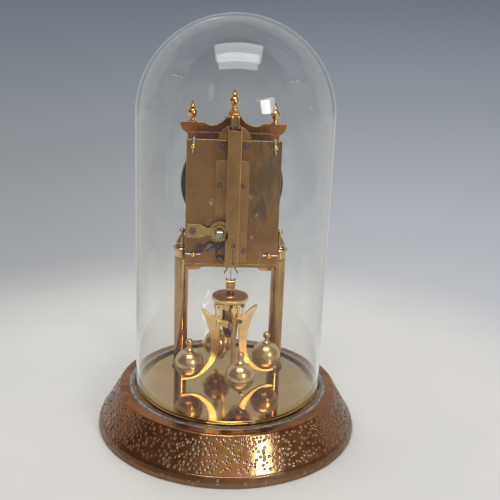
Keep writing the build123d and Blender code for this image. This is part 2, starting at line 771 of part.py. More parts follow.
# ---------------------------------------------------------------- suspension
arch_radius = 11.8
arch_z = 207.0
saddle_half = 2.6
saddle_gap = 1.55
cross_z = 226.8
cross_radius = 0.8
strip_half_width = 0.3
strip_half_thick = 0.06
strip_slit = (0.7, 0.2)

with BuildPart() as suspension_bracket:
    with BuildSketch(across(back_inner)) as arch:
        with Locations((0, arch_z)):
            Circle(arch_radius)
        with Locations((0, arch_z - arch_radius)):
            Rectangle(2 * arch_radius + 2, 2 * (arch_radius - 7.5), mode=Mode.SUBTRACT)
        with Locations((0, 203.3)):
            Rectangle(2 * arch_radius, 7.6)
        with Locations((0, 212.0)):
            Rectangle(8.4, 6.8, mode=Mode.SUBTRACT)
        for at in bracket_screw_places:
            with Locations(at):
                Circle(small_shank, mode=Mode.SUBTRACT)
    extrude(arch.sketch, amount=bracket_thick)
    with BuildSketch(Plane.YZ) as arm:
        with BuildLine():
            Polyline((-5.6, 222.8), (back_inner - bracket_thick, 219.0), (back_inner - bracket_thick, 215.6),
                     (back_inner, 215.6), (back_inner, 217.4), (-4.4, 219.5), (5.4, 219.5), (5.4, 224.6))
            ThreePointArc((5.4, 224.6), (2.4, 228.6), (-2.0, 227.6))
            Line((-2.0, 227.6), (-5.6, 222.8))
        make_face()
    extrude(arm.sketch, amount=saddle_half, both=True)
    with BuildSketch(level(219.0)) as saddle_slot:
        with Locations((0, axis_y + 1.4)):
            Rectangle(2 * saddle_gap, 7.6)
    extrude(saddle_slot.sketch, amount=11.0, mode=Mode.SUBTRACT)
    with BuildSketch(Plane.YZ) as cross_hole:
        with Locations((axis_y, cross_z)):
            Circle(cross_radius)
    extrude(cross_hole.sketch, amount=saddle_half, both=True, mode=Mode.SUBTRACT)

with BuildPart() as upper_block:
    slab(level(221.4, 0, axis_y), 3.0, 3.8, 7.8)
    slab(level(221.4, 0, axis_y), *strip_slit, 4.0, Mode.SUBTRACT)
    with BuildSketch(Plane.YZ) as block_hole:
        with Locations((axis_y, cross_z)):
            Circle(cross_radius)
    extrude(block_hole.sketch, amount=2.0, both=True, mode=Mode.SUBTRACT)
    chamfer(upper_block.edges().filter_by(Axis.X).group_by(Axis.Z)[-1], 0.6)

with BuildPart() as suspension_spring:
    slab(level(106.0, 0, axis_y), 2 * strip_half_width, 2 * strip_half_thick, 118.8)

fork_low = 210.8
fork_high = 214.2
tine_reach = 17.2
tine_inside = 0.75
tine_width = 0.75

with BuildPart() as fork:
    slab(level(fork_low, 0, axis_y), 3.0, 2.8, fork_high - fork_low)
    for side in (-1, 1):
        slab(level(211.9, side * (tine_inside + tine_width / 2), axis_y - tine_reach / 2), tine_width,
             tine_reach, 1.2)
    slab(level(fork_low, 0, axis_y), *strip_slit, fork_high - fork_low, Mode.SUBTRACT)

# ---------------------------------------------------------------- guard over the suspension
guard_low = 121.3
guard_high = 217.8
guard_half = 4.75
guard_outer = 5.0
guard_slot_x = -1.0
face_screw_z = 137.4

with BuildPart() as suspension_guard:
    with BuildSketch(level(guard_low)) as channel:
        with BuildLine():
            Polyline((guard_half, rear_face), (guard_half, guard_outer), (-guard_half, guard_outer),
                     (-guard_half, rear_face), (guard_sheet - guard_half, rear_face),
                     (guard_sheet - guard_half, guard_outer - guard_sheet),
                     (guard_half - guard_sheet, guard_outer - guard_sheet), (guard_half - guard_sheet, rear_face),
                     close=True)
        make_face()
    extrude(channel.sketch, amount=guard_high - guard_low)
    fillet(suspension_guard.edges().filter_by(Axis.Z).group_by(Axis.Y)[-1], 0.6)
    with BuildSketch(across(rear_face + guard_sheet)) as flanges:
        with BuildLine():
            Polyline((guard_half - 0.1, 156.0), (12.2, 156.0), (12.2, 195.0), (guard_half - 0.1, 195.0), close=True)
        make_face()
        with BuildLine():
            Polyline((0.1 - guard_half, guard_low), (-10.9, guard_low), (-10.9, 195.0), (0.1 - guard_half, 195.0),
                     close=True)
        make_face()
        for at in guard_screw_places:
            with Locations(at):
                Circle(small_shank + running, mode=Mode.SUBTRACT)
    extrude(flanges.sketch, amount=guard_sheet)
    disc(across(-5.2, barrel_at), ratchet_radius + 0.5, -5.2 - rear_face, Mode.SUBTRACT)
    disc(across(guard_outer, barrel_at), 6.0, guard_outer + 5.3, Mode.SUBTRACT)
    with BuildSketch(across(guard_outer)) as face_cuts:
        with Locations((guard_slot_x, 129.2)):
            Rectangle(0.7, 10.8)
        with Locations((guard_slot_x, 124.2)):
            RectangleRounded(1.7, 3.0, 0.6)
        with Locations((guard_slot_x, face_screw_z)):
            Circle(small_shank)
    extrude(face_cuts.sketch, amount=2 * guard_sheet, mode=Mode.SUBTRACT)
    with BuildSketch(across(guard_outer)) as prongs:
        for side in (-1, 1):
            bar((side * 2.5, 121.8), (side * 3.4, 119.2), 1.2)
            bar((side * 3.4, 119.3), (side * 4.6, 116.9), 0.6)
            bar((side * 3.2, 119.6), (side * 4.9, 118.1), 0.5)
    extrude(prongs.sketch, amount=guard_sheet)

with BuildPart() as rear_screws:
    for at in bracket_screw_places:
        screw(facing_rear(rear_face, at), 2.1, 1.2, small_shank, plate_thick + bracket_thick, 15 * at[0])
    for at in guard_screw_places:
        screw(facing_rear(rear_face + guard_sheet, at), 1.7, 1.0, small_shank, guard_sheet + plate_thick, 9 * at[1])
    screw(facing_rear(rear_face + click_spring_foot, spring_screw_at), 1.8, 1.1, small_shank,
          click_spring_foot + plate_thick, 70)
    screw(facing_rear(rear_face + bridge_thick, bridge_screw_at), 2.3, 1.4, small_shank,
          bridge_thick + plate_thick, 25)
    screw(facing_rear(guard_outer, (guard_slot_x, face_screw_z)), 1.7, 0.9, small_shank, guard_sheet + 0.8, 50)
    screw(facing_rear(rear_face, stud_at), 3.0, 1.5, small_shank, plate_thick, 80)
    screw(facing_rear(rear_face + click_neck, click_at), 3.5, 1.5, small_shank, click_neck + plate_thick, 35)
    disc(facing_rear(rear_face + click_neck, click_at), click_bore, -click_neck)
    disc(Plane(origin=(-saddle_half, axis_y, cross_z), z_dir=(1, 0, 0)), cross_radius, 2 * saddle_half + 3.0)
    screw(Plane(origin=(saddle_half + 2.9, axis_y, cross_z), z_dir=(1, 0, 0)), 1.6, 1.8, cross_radius, 1.0, 30)

# ---------------------------------------------------------------- pendulum
neck_radius = 2.6
yoke_low = 104.4
yoke_high = 111.8
trunnion_z = 107.6
block_low = 105.9
block_high = 110.9
column_radius = 5.2
collar_radius = 5.0
disc_thick = 3.2
lug_inside = 5.7
lug_outside = 10.7
lug_low = 77.2
lug_high = 95.5
arm_sheet = 2.0
arm_screw_radius = 0.7
cheek_thick = 1.1
clamp_levels = [(76.6, 5.4, 7.6), (89.8, 4.0, 8.8)]      # underside, height and screw radius of each ring

with BuildPart() as pendulum_stem:
    turn([
        (0, 66.6), (1.5, 66.9), (2.6, 67.8), (3.5, 69.4), (4.2, 71.4), (4.9, 74.0), (column_radius, 76.0),
        (column_radius, 95.6), (collar_radius, 95.9), (collar_radius, disc_z), (neck_radius, disc_z),
        (neck_radius, yoke_low), (0, yoke_low),
    ], 0, axis_y)

with BuildPart() as pendulum_yoke:
    slab(level(yoke_low, 0, axis_y), 6.8, 6.0, yoke_high - yoke_low)
    slab(level(block_low - 0.1, 0, axis_y), 4.9, 6.0, yoke_high - yoke_low, Mode.SUBTRACT)
    with BuildSketch(Plane.YZ) as trunnion_hole:
        with Locations((axis_y, trunnion_z)):
            Circle(cross_radius)
    extrude(trunnion_hole.sketch, amount=4.0, both=True, mode=Mode.SUBTRACT)
    fillet(pendulum_yoke.edges().filter_by(Axis.X).group_by(Axis.Z)[-1], 0.8)

with BuildPart() as lower_block:
    slab(level(block_low, 0, axis_y), 4.8, 4.0, block_high - block_low)
    disc(across(axis_y + 2.8, (0, 108.9)), 1.4, 0.8)
    with BuildSketch(Plane.YZ) as trunnion:
        with Locations((axis_y, trunnion_z)):
            Circle(cross_radius)
    extrude(trunnion.sketch, amount=3.4, both=True)
    slab(level(block_low, 0, axis_y), *strip_slit, block_high - block_low, Mode.SUBTRACT)
    chamfer(lower_block.edges().filter_by(Axis.X).group_by(Axis.Z)[-1], 0.5)

with BuildPart() as regulating_disc:
    turn([
        (neck_radius + running, disc_z), (disc_radius - 0.9, disc_z), (disc_radius - 0.2, disc_z + 0.7),
        (disc_radius, disc_z + 1.5), (disc_radius, disc_z + disc_thick - 0.5),
        (disc_radius - 0.4, disc_z + disc_thick), (5.2, disc_z + disc_thick),
        (4.8, disc_z + disc_thick + 0.5), (neck_radius + running, disc_z + disc_thick + 0.5),
    ], 0, axis_y)

arm_turns = [pendulum_angle + 90 * quarter for quarter in range(4)]


def radial(turn_by):
    """The upright plane of one arm: local x runs out from the suspension and local y is +Z."""
    out = radians(turn_by)
    return Plane(origin=(0, axis_y, 0), x_dir=(cos(out), sin(out), 0), z_dir=(sin(out), -cos(out), 0))


with BuildPart() as pendulum_arms:
    for turn_by in arm_turns:
        with BuildSketch(radial(turn_by)) as arm_outline:
            with BuildLine():
                Line((lug_inside, lug_high), (lug_outside, lug_high))
                Line((lug_outside, lug_high), (lug_outside, 85.4))
                ThreePointArc((lug_outside, 85.4), (11.2, 84.5), (12.2, 85.0))
                ThreePointArc((12.2, 85.0), (15.8, 88.4), (19.9, 90.6))
                ThreePointArc((19.9, 90.6), (20.8, 90.5), (20.7, 89.6))
                ThreePointArc((20.7, 89.6), (15.3, 76.0), (13.4, 60.0))
                ThreePointArc((13.4, 60.0), (17.3, 46.5), (27.0, 39.0))
                Line((27.0, 39.0), (34.2, 39.0))
                ThreePointArc((34.2, 39.0), (35.0, 38.2), (34.2, 37.3))
                Line((34.2, 37.3), (30.0, 37.0))
                ThreePointArc((30.0, 37.0), (15.0, 44.2), (7.8, 60.0))
                ThreePointArc((7.8, 60.0), (7.4, 68.0), (7.5, 76.0))
                Line((7.5, 76.0), (lug_inside, lug_low))
                Line((lug_inside, lug_low), (lug_inside, lug_high))
            make_face()
            with Locations((8.3, 86.8)):
                SlotOverall(6.2, 1.9, rotation=90, mode=Mode.SUBTRACT)
            for low, height, screw_out in clamp_levels:
                with Locations((screw_out, low + height / 2)):
                    Circle(arm_screw_radius, mode=Mode.SUBTRACT)
        extrude(arm_outline.sketch, amount=arm_sheet / 2, both=True)

with BuildPart() as arm_clamps:
    for low, height, screw_out in clamp_levels:
        disc(level(low, 0, axis_y), lug_inside, height)
        for turn_by in arm_turns:
            with BuildSketch(radial(turn_by)) as cheek:
                with Locations((column_radius - 0.2, low + height / 2)):
                    Rectangle(screw_out - column_radius + 2.5, height, align=(Align.MIN, Align.CENTER))
            extrude(cheek.sketch, amount=arm_sheet / 2 + cheek_thick, both=True)
        for turn_by in arm_turns:
            with BuildSketch(radial(turn_by)) as slot:
                with Locations((lug_inside + 10.0, low + height / 2)):
                    Rectangle(20.0, height + 1.0)
            extrude(slot.sketch, amount=arm_sheet / 2, both=True, mode=Mode.SUBTRACT)
            with BuildSketch(radial(turn_by)) as screw_way:
                with Locations((screw_out, low + height / 2)):
                    Circle(arm_screw_radius)
            extrude(screw_way.sketch, amount=4.0, both=True, mode=Mode.SUBTRACT)
        disc(level(low, 0, axis_y), column_radius, height, Mode.SUBTRACT)

with BuildPart() as arm_screws:
    for low, height, screw_out in clamp_levels:
        for turn_by in arm_turns:
            flat = radial(turn_by)
            centre = flat.from_local_coords((screw_out, low + height / 2, arm_sheet / 2 + cheek_thick))
            seat = Plane(origin=centre, x_dir=flat.x_dir, z_dir=flat.z_dir)
            screw(seat, 1.3, 0.7, arm_screw_radius, arm_sheet + 2 * cheek_thick, 40)

ball_seat_z = 39.0
ball_flat_z = ball_z + 10.0
band_radius = ball_radius + 0.2
knob_radius = 2.8


def ball_place(turn_by):
    """The x, y of a ball's middle."""
    out = radians(turn_by)
    return (ball_reach * cos(out), axis_y + ball_reach * sin(out))


with BuildPart() as pendulum_balls:
    for turn_by in arm_turns:
        x, y = ball_place(turn_by)
        ball(ball_radius, x, y, ball_z)
        disc(level(ball_z - 2.6, x, y), band_radius, 1.1)
        disc(level(ball_seat_z, x, y), 1.8, 3.0)
        disc(level(ball_flat_z, x, y), 4.0, 1.0, Mode.SUBTRACT)
        disc(level(ball_flat_z - 3.0, x, y), 0.9, 3.0, Mode.SUBTRACT)

with BuildPart() as ball_knobs:
    for turn_by in arm_turns:
        x, y = ball_place(turn_by)
        turn([
            (0, ball_flat_z - 3.0), (0.9, ball_flat_z - 3.0), (0.9, ball_flat_z), (2.9, ball_flat_z),
            (3.0, ball_flat_z + 0.7), (2.2, ball_flat_z + 1.3), (1.3, ball_flat_z + 2.0),
            (1.2, ball_flat_z + 4.0), (0, ball_flat_z + 4.0),
        ], x, y)
        ball(knob_radius, x, y, ball_flat_z + 5.9)

# ---------------------------------------------------------------- files
pieces = {
    "base_skirt": base_skirt, "base_plate": base_plate, "solder_seam": solder_seam, "glass_dome": glass_dome,
    "pillars": pillars, "pillar_caps": pillar_caps, "platform": platform, "under_screws": under_screws,
    "back_plate": back_plate, "front_plate": front_plate, "plate_posts": plate_posts,
    "taper_pins": taper_pins, "pediment_plate": pediment_plate, "finials": finials,
    "dial_pan": dial_pan, "dial_plate": dial_plate, "dial_bezel": dial_bezel,
    "barrel": barrel, "barrel_cap": barrel_cap, "mainspring": mainspring, "winding_arbor": winding_arbor,
    "ratchet_wheel": ratchet_wheel, "click": click, "click_spring": click_spring,
    "click_bridge": click_bridge, "rear_screws": rear_screws,
    "first_arbor": first_arbor, "first_wheel": first_wheel, "second_arbor": second_arbor,
    "second_wheel": second_wheel, "fourth_arbor": fourth_arbor, "fourth_wheel": fourth_wheel,
    "centre_arbor": centre_arbor, "centre_wheel": centre_wheel, "third_arbor": third_arbor,
    "third_wheel": third_wheel, "escape_arbor": escape_arbor, "escape_wheel": escape_wheel,
    "anchor": anchor, "anchor_arbor": anchor_arbor, "cannon_pinion": cannon_pinion,
    "minute_wheel": minute_wheel, "hour_wheel": hour_wheel, "hour_hand": hour_hand,
    "minute_hand": minute_hand, "hand_nut": hand_nut, "suspension_bracket": suspension_bracket,
    "upper_block": upper_block, "suspension_spring": suspension_spring, "fork": fork,
    "suspension_guard": suspension_guard, "pendulum_stem": pendulum_stem, "pendulum_yoke": pendulum_yoke,
    "lower_block": lower_block, "regulating_disc": regulating_disc, "pendulum_arms": pendulum_arms,
    "arm_clamps": arm_clamps, "arm_screws": arm_screws, "pendulum_balls": pendulum_balls,
    "ball_knobs": ball_knobs,
}
for name, piece in pieces.items():
    piece.part.label = name
    export_step(piece.part, f"parts/{name}.step")
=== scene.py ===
import math
import random

import bmesh
import bpy
import numpy as np
from mathutils import Matrix, Vector


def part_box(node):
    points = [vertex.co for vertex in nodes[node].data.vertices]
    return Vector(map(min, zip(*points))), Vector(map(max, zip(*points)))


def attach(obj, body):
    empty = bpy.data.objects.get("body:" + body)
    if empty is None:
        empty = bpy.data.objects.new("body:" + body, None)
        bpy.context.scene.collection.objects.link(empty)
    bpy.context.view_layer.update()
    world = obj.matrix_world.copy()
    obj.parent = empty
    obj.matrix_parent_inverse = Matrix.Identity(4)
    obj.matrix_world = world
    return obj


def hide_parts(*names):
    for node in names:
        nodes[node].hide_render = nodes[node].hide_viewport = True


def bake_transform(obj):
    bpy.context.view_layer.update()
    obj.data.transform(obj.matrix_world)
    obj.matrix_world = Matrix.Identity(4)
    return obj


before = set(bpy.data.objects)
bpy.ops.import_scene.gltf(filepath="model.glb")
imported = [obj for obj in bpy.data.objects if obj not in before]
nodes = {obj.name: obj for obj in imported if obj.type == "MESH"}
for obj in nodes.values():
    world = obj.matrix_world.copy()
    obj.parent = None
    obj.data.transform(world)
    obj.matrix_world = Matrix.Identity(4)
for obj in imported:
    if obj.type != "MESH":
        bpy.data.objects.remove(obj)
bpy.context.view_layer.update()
mm = 0.001


def span(node):
    """The corners of a CAD node, in millimetres."""
    low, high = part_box(node)
    return low / mm, high / mm


# ---------------------------------------------------------------- places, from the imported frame
skirt_high = span("base_skirt")[1]
foot_radius = skirt_high.x
plate_high = span("base_plate")[1]
seat_radius = plate_high.x
plate_top = plate_high.z
dome_low, dome_high = span("glass_dome")
dome_radius = dome_high.x
dome_foot = dome_low.z
dome_top = dome_high.z
seam_low, seam_high = span("solder_seam")
dial_low, dial_high = span("dial_plate")
dial_centre = (dial_low + dial_high) / 2
dial_front = dial_low.y


# ---------------------------------------------------------------- shader graphs
class Graph:
    """The nodes of a material or a world in the making.

    In a material, place is a point in metres in the object's own space.
    In a world, it is the direction of the ray.
    """

    def __init__(self, owner, coordinates="Object"):
        self.owner = owner
        owner.use_nodes = True
        self.tree = owner.node_tree
        self.tree.nodes.clear()
        self.place = self.add("ShaderNodeTexCoord").outputs[coordinates]

    def add(self, kind, inputs=None, **settings):
        node = self.tree.nodes.new(kind)
        for key, value in settings.items():
            setattr(node, key, value)
        for key, value in (inputs or {}).items():
            self.put(node.inputs[key], value)
        return node

    def put(self, socket, value):
        if isinstance(value, bpy.types.NodeSocket):
            self.tree.links.new(value, socket)
        elif socket.type == "RGBA" and len(value) == 3:
            socket.default_value = (*value, 1.0)
        else:
            socket.default_value = value

    def math(self, operation, a, b=0.0):
        node = self.add("ShaderNodeMath", {0: a, 1: b}, operation=operation)
        return node.outputs[0]

    def vector(self, operation, a, b=(0.0, 0.0, 0.0), output="Vector"):
        node = self.add("ShaderNodeVectorMath", {0: a, 1: b}, operation=operation)
        return node.outputs[output]

    def product(self, first, *others):
        for other in others:
            first = self.math("MULTIPLY", first, other)
        return first

    def gap_to(self, point):
        """The distance to a point that is given in millimetres."""
        return self.vector("DISTANCE", self.place, tuple(Vector(point) * mm), "Value")

    def stretch(self, x, y, z, shift=(0.0, 0.0, 0.0)):
        node = self.add("ShaderNodeMapping", {"Vector": self.place, "Scale": (x, y, z), "Location": shift})
        return node.outputs[0]

    def noise(self, per_metre, detail=4.0, rough=0.55, vector=None, twist=0.0):
        node = self.add("ShaderNodeTexNoise", {
            "Vector": vector or self.place, "Scale": per_metre, "Detail": detail, "Roughness": rough,
            "Distortion": twist,
        })
        return node.outputs["Fac"]

    def cells(self, per_metre, vector=None, feature="F1"):
        node = self.add("ShaderNodeTexVoronoi", {"Vector": vector or self.place, "Scale": per_metre},
                        feature=feature)
        return node.outputs["Distance"]

    def rise(self, value, low, high, start=0.0, end=1.0):
        """start below low, end above high, and a smooth step between."""
        node = self.add("ShaderNodeMapRange", {
            "Value": value, "From Min": low, "From Max": high, "To Min": start, "To Max": end,
        }, interpolation_type="SMOOTHSTEP")
        return node.outputs[0]

    def mix(self, share, a, b, kind="MIX"):
        node = self.add("ShaderNodeMix", {0: share, 6: a, 7: b}, data_type="RGBA", blend_type=kind)
        return node.outputs[2]

    def axis(self, name):
        return self.add("ShaderNodeSeparateXYZ", {"Vector": self.place}).outputs[name]

    def soft_normal(self, radius):
        return self.add("ShaderNodeBevel", {"Radius": radius}, samples=4).outputs[0]

    def edges(self, normal):
        """1 on a rounded edge and 0 on a face."""
        true = self.add("ShaderNodeNewGeometry").outputs["Normal"]
        return self.rise(self.vector("DOT_PRODUCT", normal, true, "Value"), 0.998, 0.94)

    def crevice(self, reach):
        """1 in a tight corner and 0 in the open."""
        node = self.add("ShaderNodeAmbientOcclusion", {"Distance": reach}, samples=6)
        return self.rise(node.outputs["AO"], 0.80, 0.35)

    def bump(self, height, depth, normal=None, strength=1.0):
        inputs = {"Height": height, "Distance": depth, "Strength": strength}
        if normal is not None:
            inputs["Normal"] = normal
        return self.add("ShaderNodeBump", inputs).outputs[0]

    def finish(self, shader, output="ShaderNodeOutputMaterial"):
        self.tree.links.new(shader, self.add(output).inputs["Surface"])
        return self.owner

    def surface(self, colour, roughness, normal, metallic=1.0, **more):
        inputs = {"Base Color": colour, "Roughness": roughness, "Normal": normal, "Metallic": metallic}
        inputs.update({key.replace("_", " "): value for key, value in more.items()})
        return self.finish(self.add("ShaderNodeBsdfPrincipled", inputs).outputs[0])


def material_graph(name):
    return Graph(bpy.data.materials.new(name))


# ---------------------------------------------------------------- metals
grime_and_shade = (0.045, 0.022, 0.010)
worn_and_highlit_edge = (1.0, 0.84, 0.48)


def brass(name, bright, dull, smooth, rough, cloud=70.0, brushed=None, stain=None, stain_share=0.0, pits=0.25,
          edge_share=0.55, wave=0.0, coat=0.0, bevel=0.00018):
    """Brass with clouded colour, brush lines, stains, small pits, painted shade and grime in the corners, and
    edges lightened by wear and a painted highlight.
    """
    g = material_graph(name)
    clouds = g.noise(cloud, 5.0, 0.6, twist=0.4)
    fine = g.noise(cloud * 9.0, 3.0, 0.6)
    colour = g.mix(g.rise(clouds, 0.36, 0.66), bright, dull)
    colour = g.mix(g.product(g.rise(fine, 0.45, 0.75), 0.35), colour, dull)
    if stain is not None:
        drips = g.noise(cloud * 1.6, 5.0, 0.62, g.stretch(1.0, 1.0, 0.28, (0.3, 0.1, 0.7)), 0.8)
        colour = g.mix(g.product(g.rise(drips, 0.48, 0.74), stain_share), colour, stain)
    specks = g.product(g.rise(g.cells(1500.0), 0.16, 0.07), g.rise(g.noise(220.0, 2.0), 0.50, 0.62))
    shade = tuple(0.35 * part for part in dull)
    colour = g.mix(g.product(specks, pits), colour, shade)
    # painted shade and grime: the colour darkens in tight corners and beside raised parts, from an occlusion
    # mask
    corner = g.product(g.crevice(0.0016), 0.75)
    colour = g.mix(corner, colour, grime_and_shade)
    soft = g.soft_normal(bevel)
    # painted highlight and wear: rounded edges are lightened towards a bright, near-white gold
    rim = g.product(g.edges(soft), g.rise(g.noise(420.0, 3.0), 0.30, 0.60))
    worn_and_highlit_rim = tuple((part + edge) / 2 for part, edge in zip(bright, worn_and_highlit_edge))
    colour = g.mix(g.product(rim, edge_share), colour, worn_and_highlit_rim)
    roughness = g.rise(clouds, 0.30, 0.75, smooth, rough)
    for patch, extra in ((specks, 0.25), (rim, 0.06), (corner, 0.20)):
        roughness = g.math("ADD", roughness, g.product(patch, extra))
    normal = soft
    if wave:
        normal = g.bump(g.noise(90.0, 1.0), wave, normal)
    if brushed is not None:
        lines = g.noise(1400.0, 3.0, 0.7, g.stretch(*brushed))
        normal = g.bump(lines, 0.000004, normal)
        roughness = g.math("ADD", roughness, g.product(g.math("SUBTRACT", lines, 0.5), 0.18))
    normal = g.bump(g.math("SUBTRACT", fine, specks), 0.000006, normal, 0.6)
    return g.surface(colour, roughness, normal, Coat_Weight=coat, Coat_Roughness=0.12)


def steel(name, bright, dark, smooth, rough, worn, bevel=0.00012):
    """Steel with fine grain, uneven colour and worn edges."""
    g = material_graph(name)
    clouds = g.noise(260.0, 4.0, 0.6, twist=0.5)
    grain = g.noise(2600.0, 2.0, 0.6, g.stretch(1.0, 0.25, 1.0))
    soft = g.soft_normal(bevel)
    rim = g.product(g.edges(soft), g.rise(g.noise(700.0, 3.0), 0.30, 0.62))
    colour = g.mix(g.rise(clouds, 0.35, 0.68), bright, dark)
    colour = g.mix(g.product(rim, 0.7), colour, worn)
    roughness = g.rise(grain, 0.3, 0.7, smooth, rough)
    return g.surface(colour, roughness, g.bump(grain, 0.000004, soft))


# A brass is: bright and dull colour, roughness where smooth and where rough, clouds per metre, brush lines.
brown_gold = (0.48, 0.27, 0.085)
red_brown = (0.36, 0.16, 0.045)
umber = (0.15, 0.085, 0.04)
grey_brown = (0.17, 0.125, 0.075)
vertical = (1.0, 1.0, 0.02)
level_lines = (0.02, 1.0, 1.0)

plate_brass = brass("plate_brass", (0.55, 0.34, 0.115), (0.40, 0.23, 0.07), 0.26, 0.42, 55.0, vertical,
                    stain=grey_brown, stain_share=0.35, pits=0.5, edge_share=0.85, bevel=0.00038)
guard_brass = brass("guard_brass", (0.62, 0.375, 0.13), (0.46, 0.26, 0.085), 0.24, 0.38, 50.0, vertical,
                    stain=red_brown, stain_share=0.40, pits=0.5, edge_share=0.85, bevel=0.00045)
bridge_brass = brass("bridge_brass", (0.86, 0.60, 0.20), (0.62, 0.41, 0.12), 0.20, 0.32, 110.0, level_lines,
                     pits=0.3, edge_share=0.9, bevel=0.00038)
pediment_brass = brass("pediment_brass", (0.84, 0.44, 0.13), (0.58, 0.26, 0.065), 0.18, 0.34, 60.0,
                       level_lines, pits=0.35, edge_share=0.9, bevel=0.00038)
frame_brass = brass("frame_brass", brown_gold, red_brown, 0.26, 0.42, 60.0, vertical, pits=0.3,
                    edge_share=0.9, bevel=0.0003)
pillar_brass = brass("pillar_brass", (0.56, 0.345, 0.14), (0.37, 0.21, 0.08), 0.11, 0.22, 40.0, vertical,
                     stain=umber, stain_share=0.42, pits=0.25)
turned_brass = brass("turned_brass", (0.80, 0.58, 0.28), (0.60, 0.38, 0.15), 0.10, 0.24, 120.0, pits=0.2,
                     coat=0.2)
ball_brass = brass("ball_brass", (0.80, 0.58, 0.27), (0.66, 0.45, 0.19), 0.25, 0.34, 75.0, pits=0.5,
                   wave=0.00002)
disc_brass = brass("disc_brass", (0.94, 0.68, 0.34), (0.74, 0.50, 0.23), 0.32, 0.44, 110.0, pits=0.3,
                   bevel=0.0003)
arm_brass = brass("arm_brass", (0.96, 0.72, 0.36), (0.82, 0.56, 0.24), 0.30, 0.40, 80.0, vertical, pits=0.2)
column_brass = brass("column_brass", (0.42, 0.23, 0.08), (0.18, 0.085, 0.03), 0.10, 0.26, 160.0, vertical,
                     stain=(0.05, 0.025, 0.012), stain_share=0.7)
wheel_brass = brass("wheel_brass", (0.74, 0.55, 0.24), (0.60, 0.41, 0.16), 0.20, 0.32, 140.0, pits=0.15)
post_gold = brass("post_gold", (0.95, 0.60, 0.18), (0.80, 0.46, 0.13), 0.12, 0.26, 200.0, pits=0.2)
blued_steel = steel("blued_steel", (0.22, 0.17, 0.165), (0.13, 0.095, 0.09), 0.24, 0.40, (0.46, 0.40, 0.36))
click_steel = steel("click_steel", (0.15, 0.11, 0.125), (0.08, 0.06, 0.065), 0.22, 0.38, (0.32, 0.26, 0.25))
bright_steel = steel("bright_steel", (0.74, 0.73, 0.71), (0.56, 0.55, 0.54), 0.14, 0.30, (0.90, 0.89, 0.87))
spring_steel = steel("spring_steel", (0.40, 0.40, 0.42), (0.28, 0.28, 0.30), 0.20, 0.36, (0.6, 0.6, 0.6))


def stained_plate():
    """The back plate: brown-gold brass, with grey streaks that run down its -X side."""
    g = material_graph("stained_plate")
    clouds = g.noise(42.0, 5.0, 0.62, twist=0.5)
    blotch = g.noise(120.0, 4.0, 0.65, twist=0.3)
    colour = g.mix(g.rise(clouds, 0.36, 0.66), (0.47, 0.245, 0.068), (0.30, 0.145, 0.038))
    colour = g.mix(g.rise(blotch, 0.52, 0.78, 0.0, 0.6), colour, (0.27, 0.13, 0.045))
    streaked_side = g.rise(g.axis("X"), -0.006, -0.017)
    upper_part = g.rise(g.axis("Z"), 0.133, 0.158)
    drips = g.noise(110.0, 6.0, 0.68, g.stretch(1.0, 1.0, 0.30), 1.1)
    grime = g.product(streaked_side, upper_part, g.rise(drips, 0.36, 0.66, 0.12, 0.95))
    colour = g.mix(grime, colour, (0.13, 0.09, 0.045))
    marks = g.noise(330.0, 4.0, 0.7, g.stretch(1.0, 1.0, 0.22, (0.2, 0.0, 0.4)), 0.6)
    marks = g.product(streaked_side, g.rise(marks, 0.62, 0.74))
    colour = g.mix(g.product(marks, 0.55), colour, (0.62, 0.50, 0.31))
    grain = g.noise(900.0, 3.0, 0.65)
    specks = g.product(g.rise(g.cells(1100.0), 0.17, 0.08), g.rise(g.noise(150.0, 2.0), 0.50, 0.64))
    colour = g.mix(g.product(specks, 0.55), colour, (0.12, 0.07, 0.03))
    soft = g.soft_normal(0.00042)
    rim = g.product(g.edges(soft), g.rise(g.noise(380.0, 3.0), 0.25, 0.50))
    # painted shade and grime: darker in corners and beside raised parts, from an occlusion mask
    colour = g.mix(g.product(g.crevice(0.0030), 0.8), colour, grime_and_shade)
    # painted highlight and wear: rounded edges lightened towards a bright gold
    colour = g.mix(g.product(rim, 0.95), colour, worn_and_highlit_edge)
    lines = g.noise(1300.0, 3.0, 0.7, g.stretch(1.0, 1.0, 0.03))
    roughness = g.math("ADD", g.rise(clouds, 0.3, 0.7, 0.28, 0.42), g.product(grime, 0.16))
    normal = g.bump(lines, 0.000005, soft)
    normal = g.bump(g.math("SUBTRACT", grain, specks), 0.000008, normal, 0.6)
    return g.surface(colour, roughness, normal)


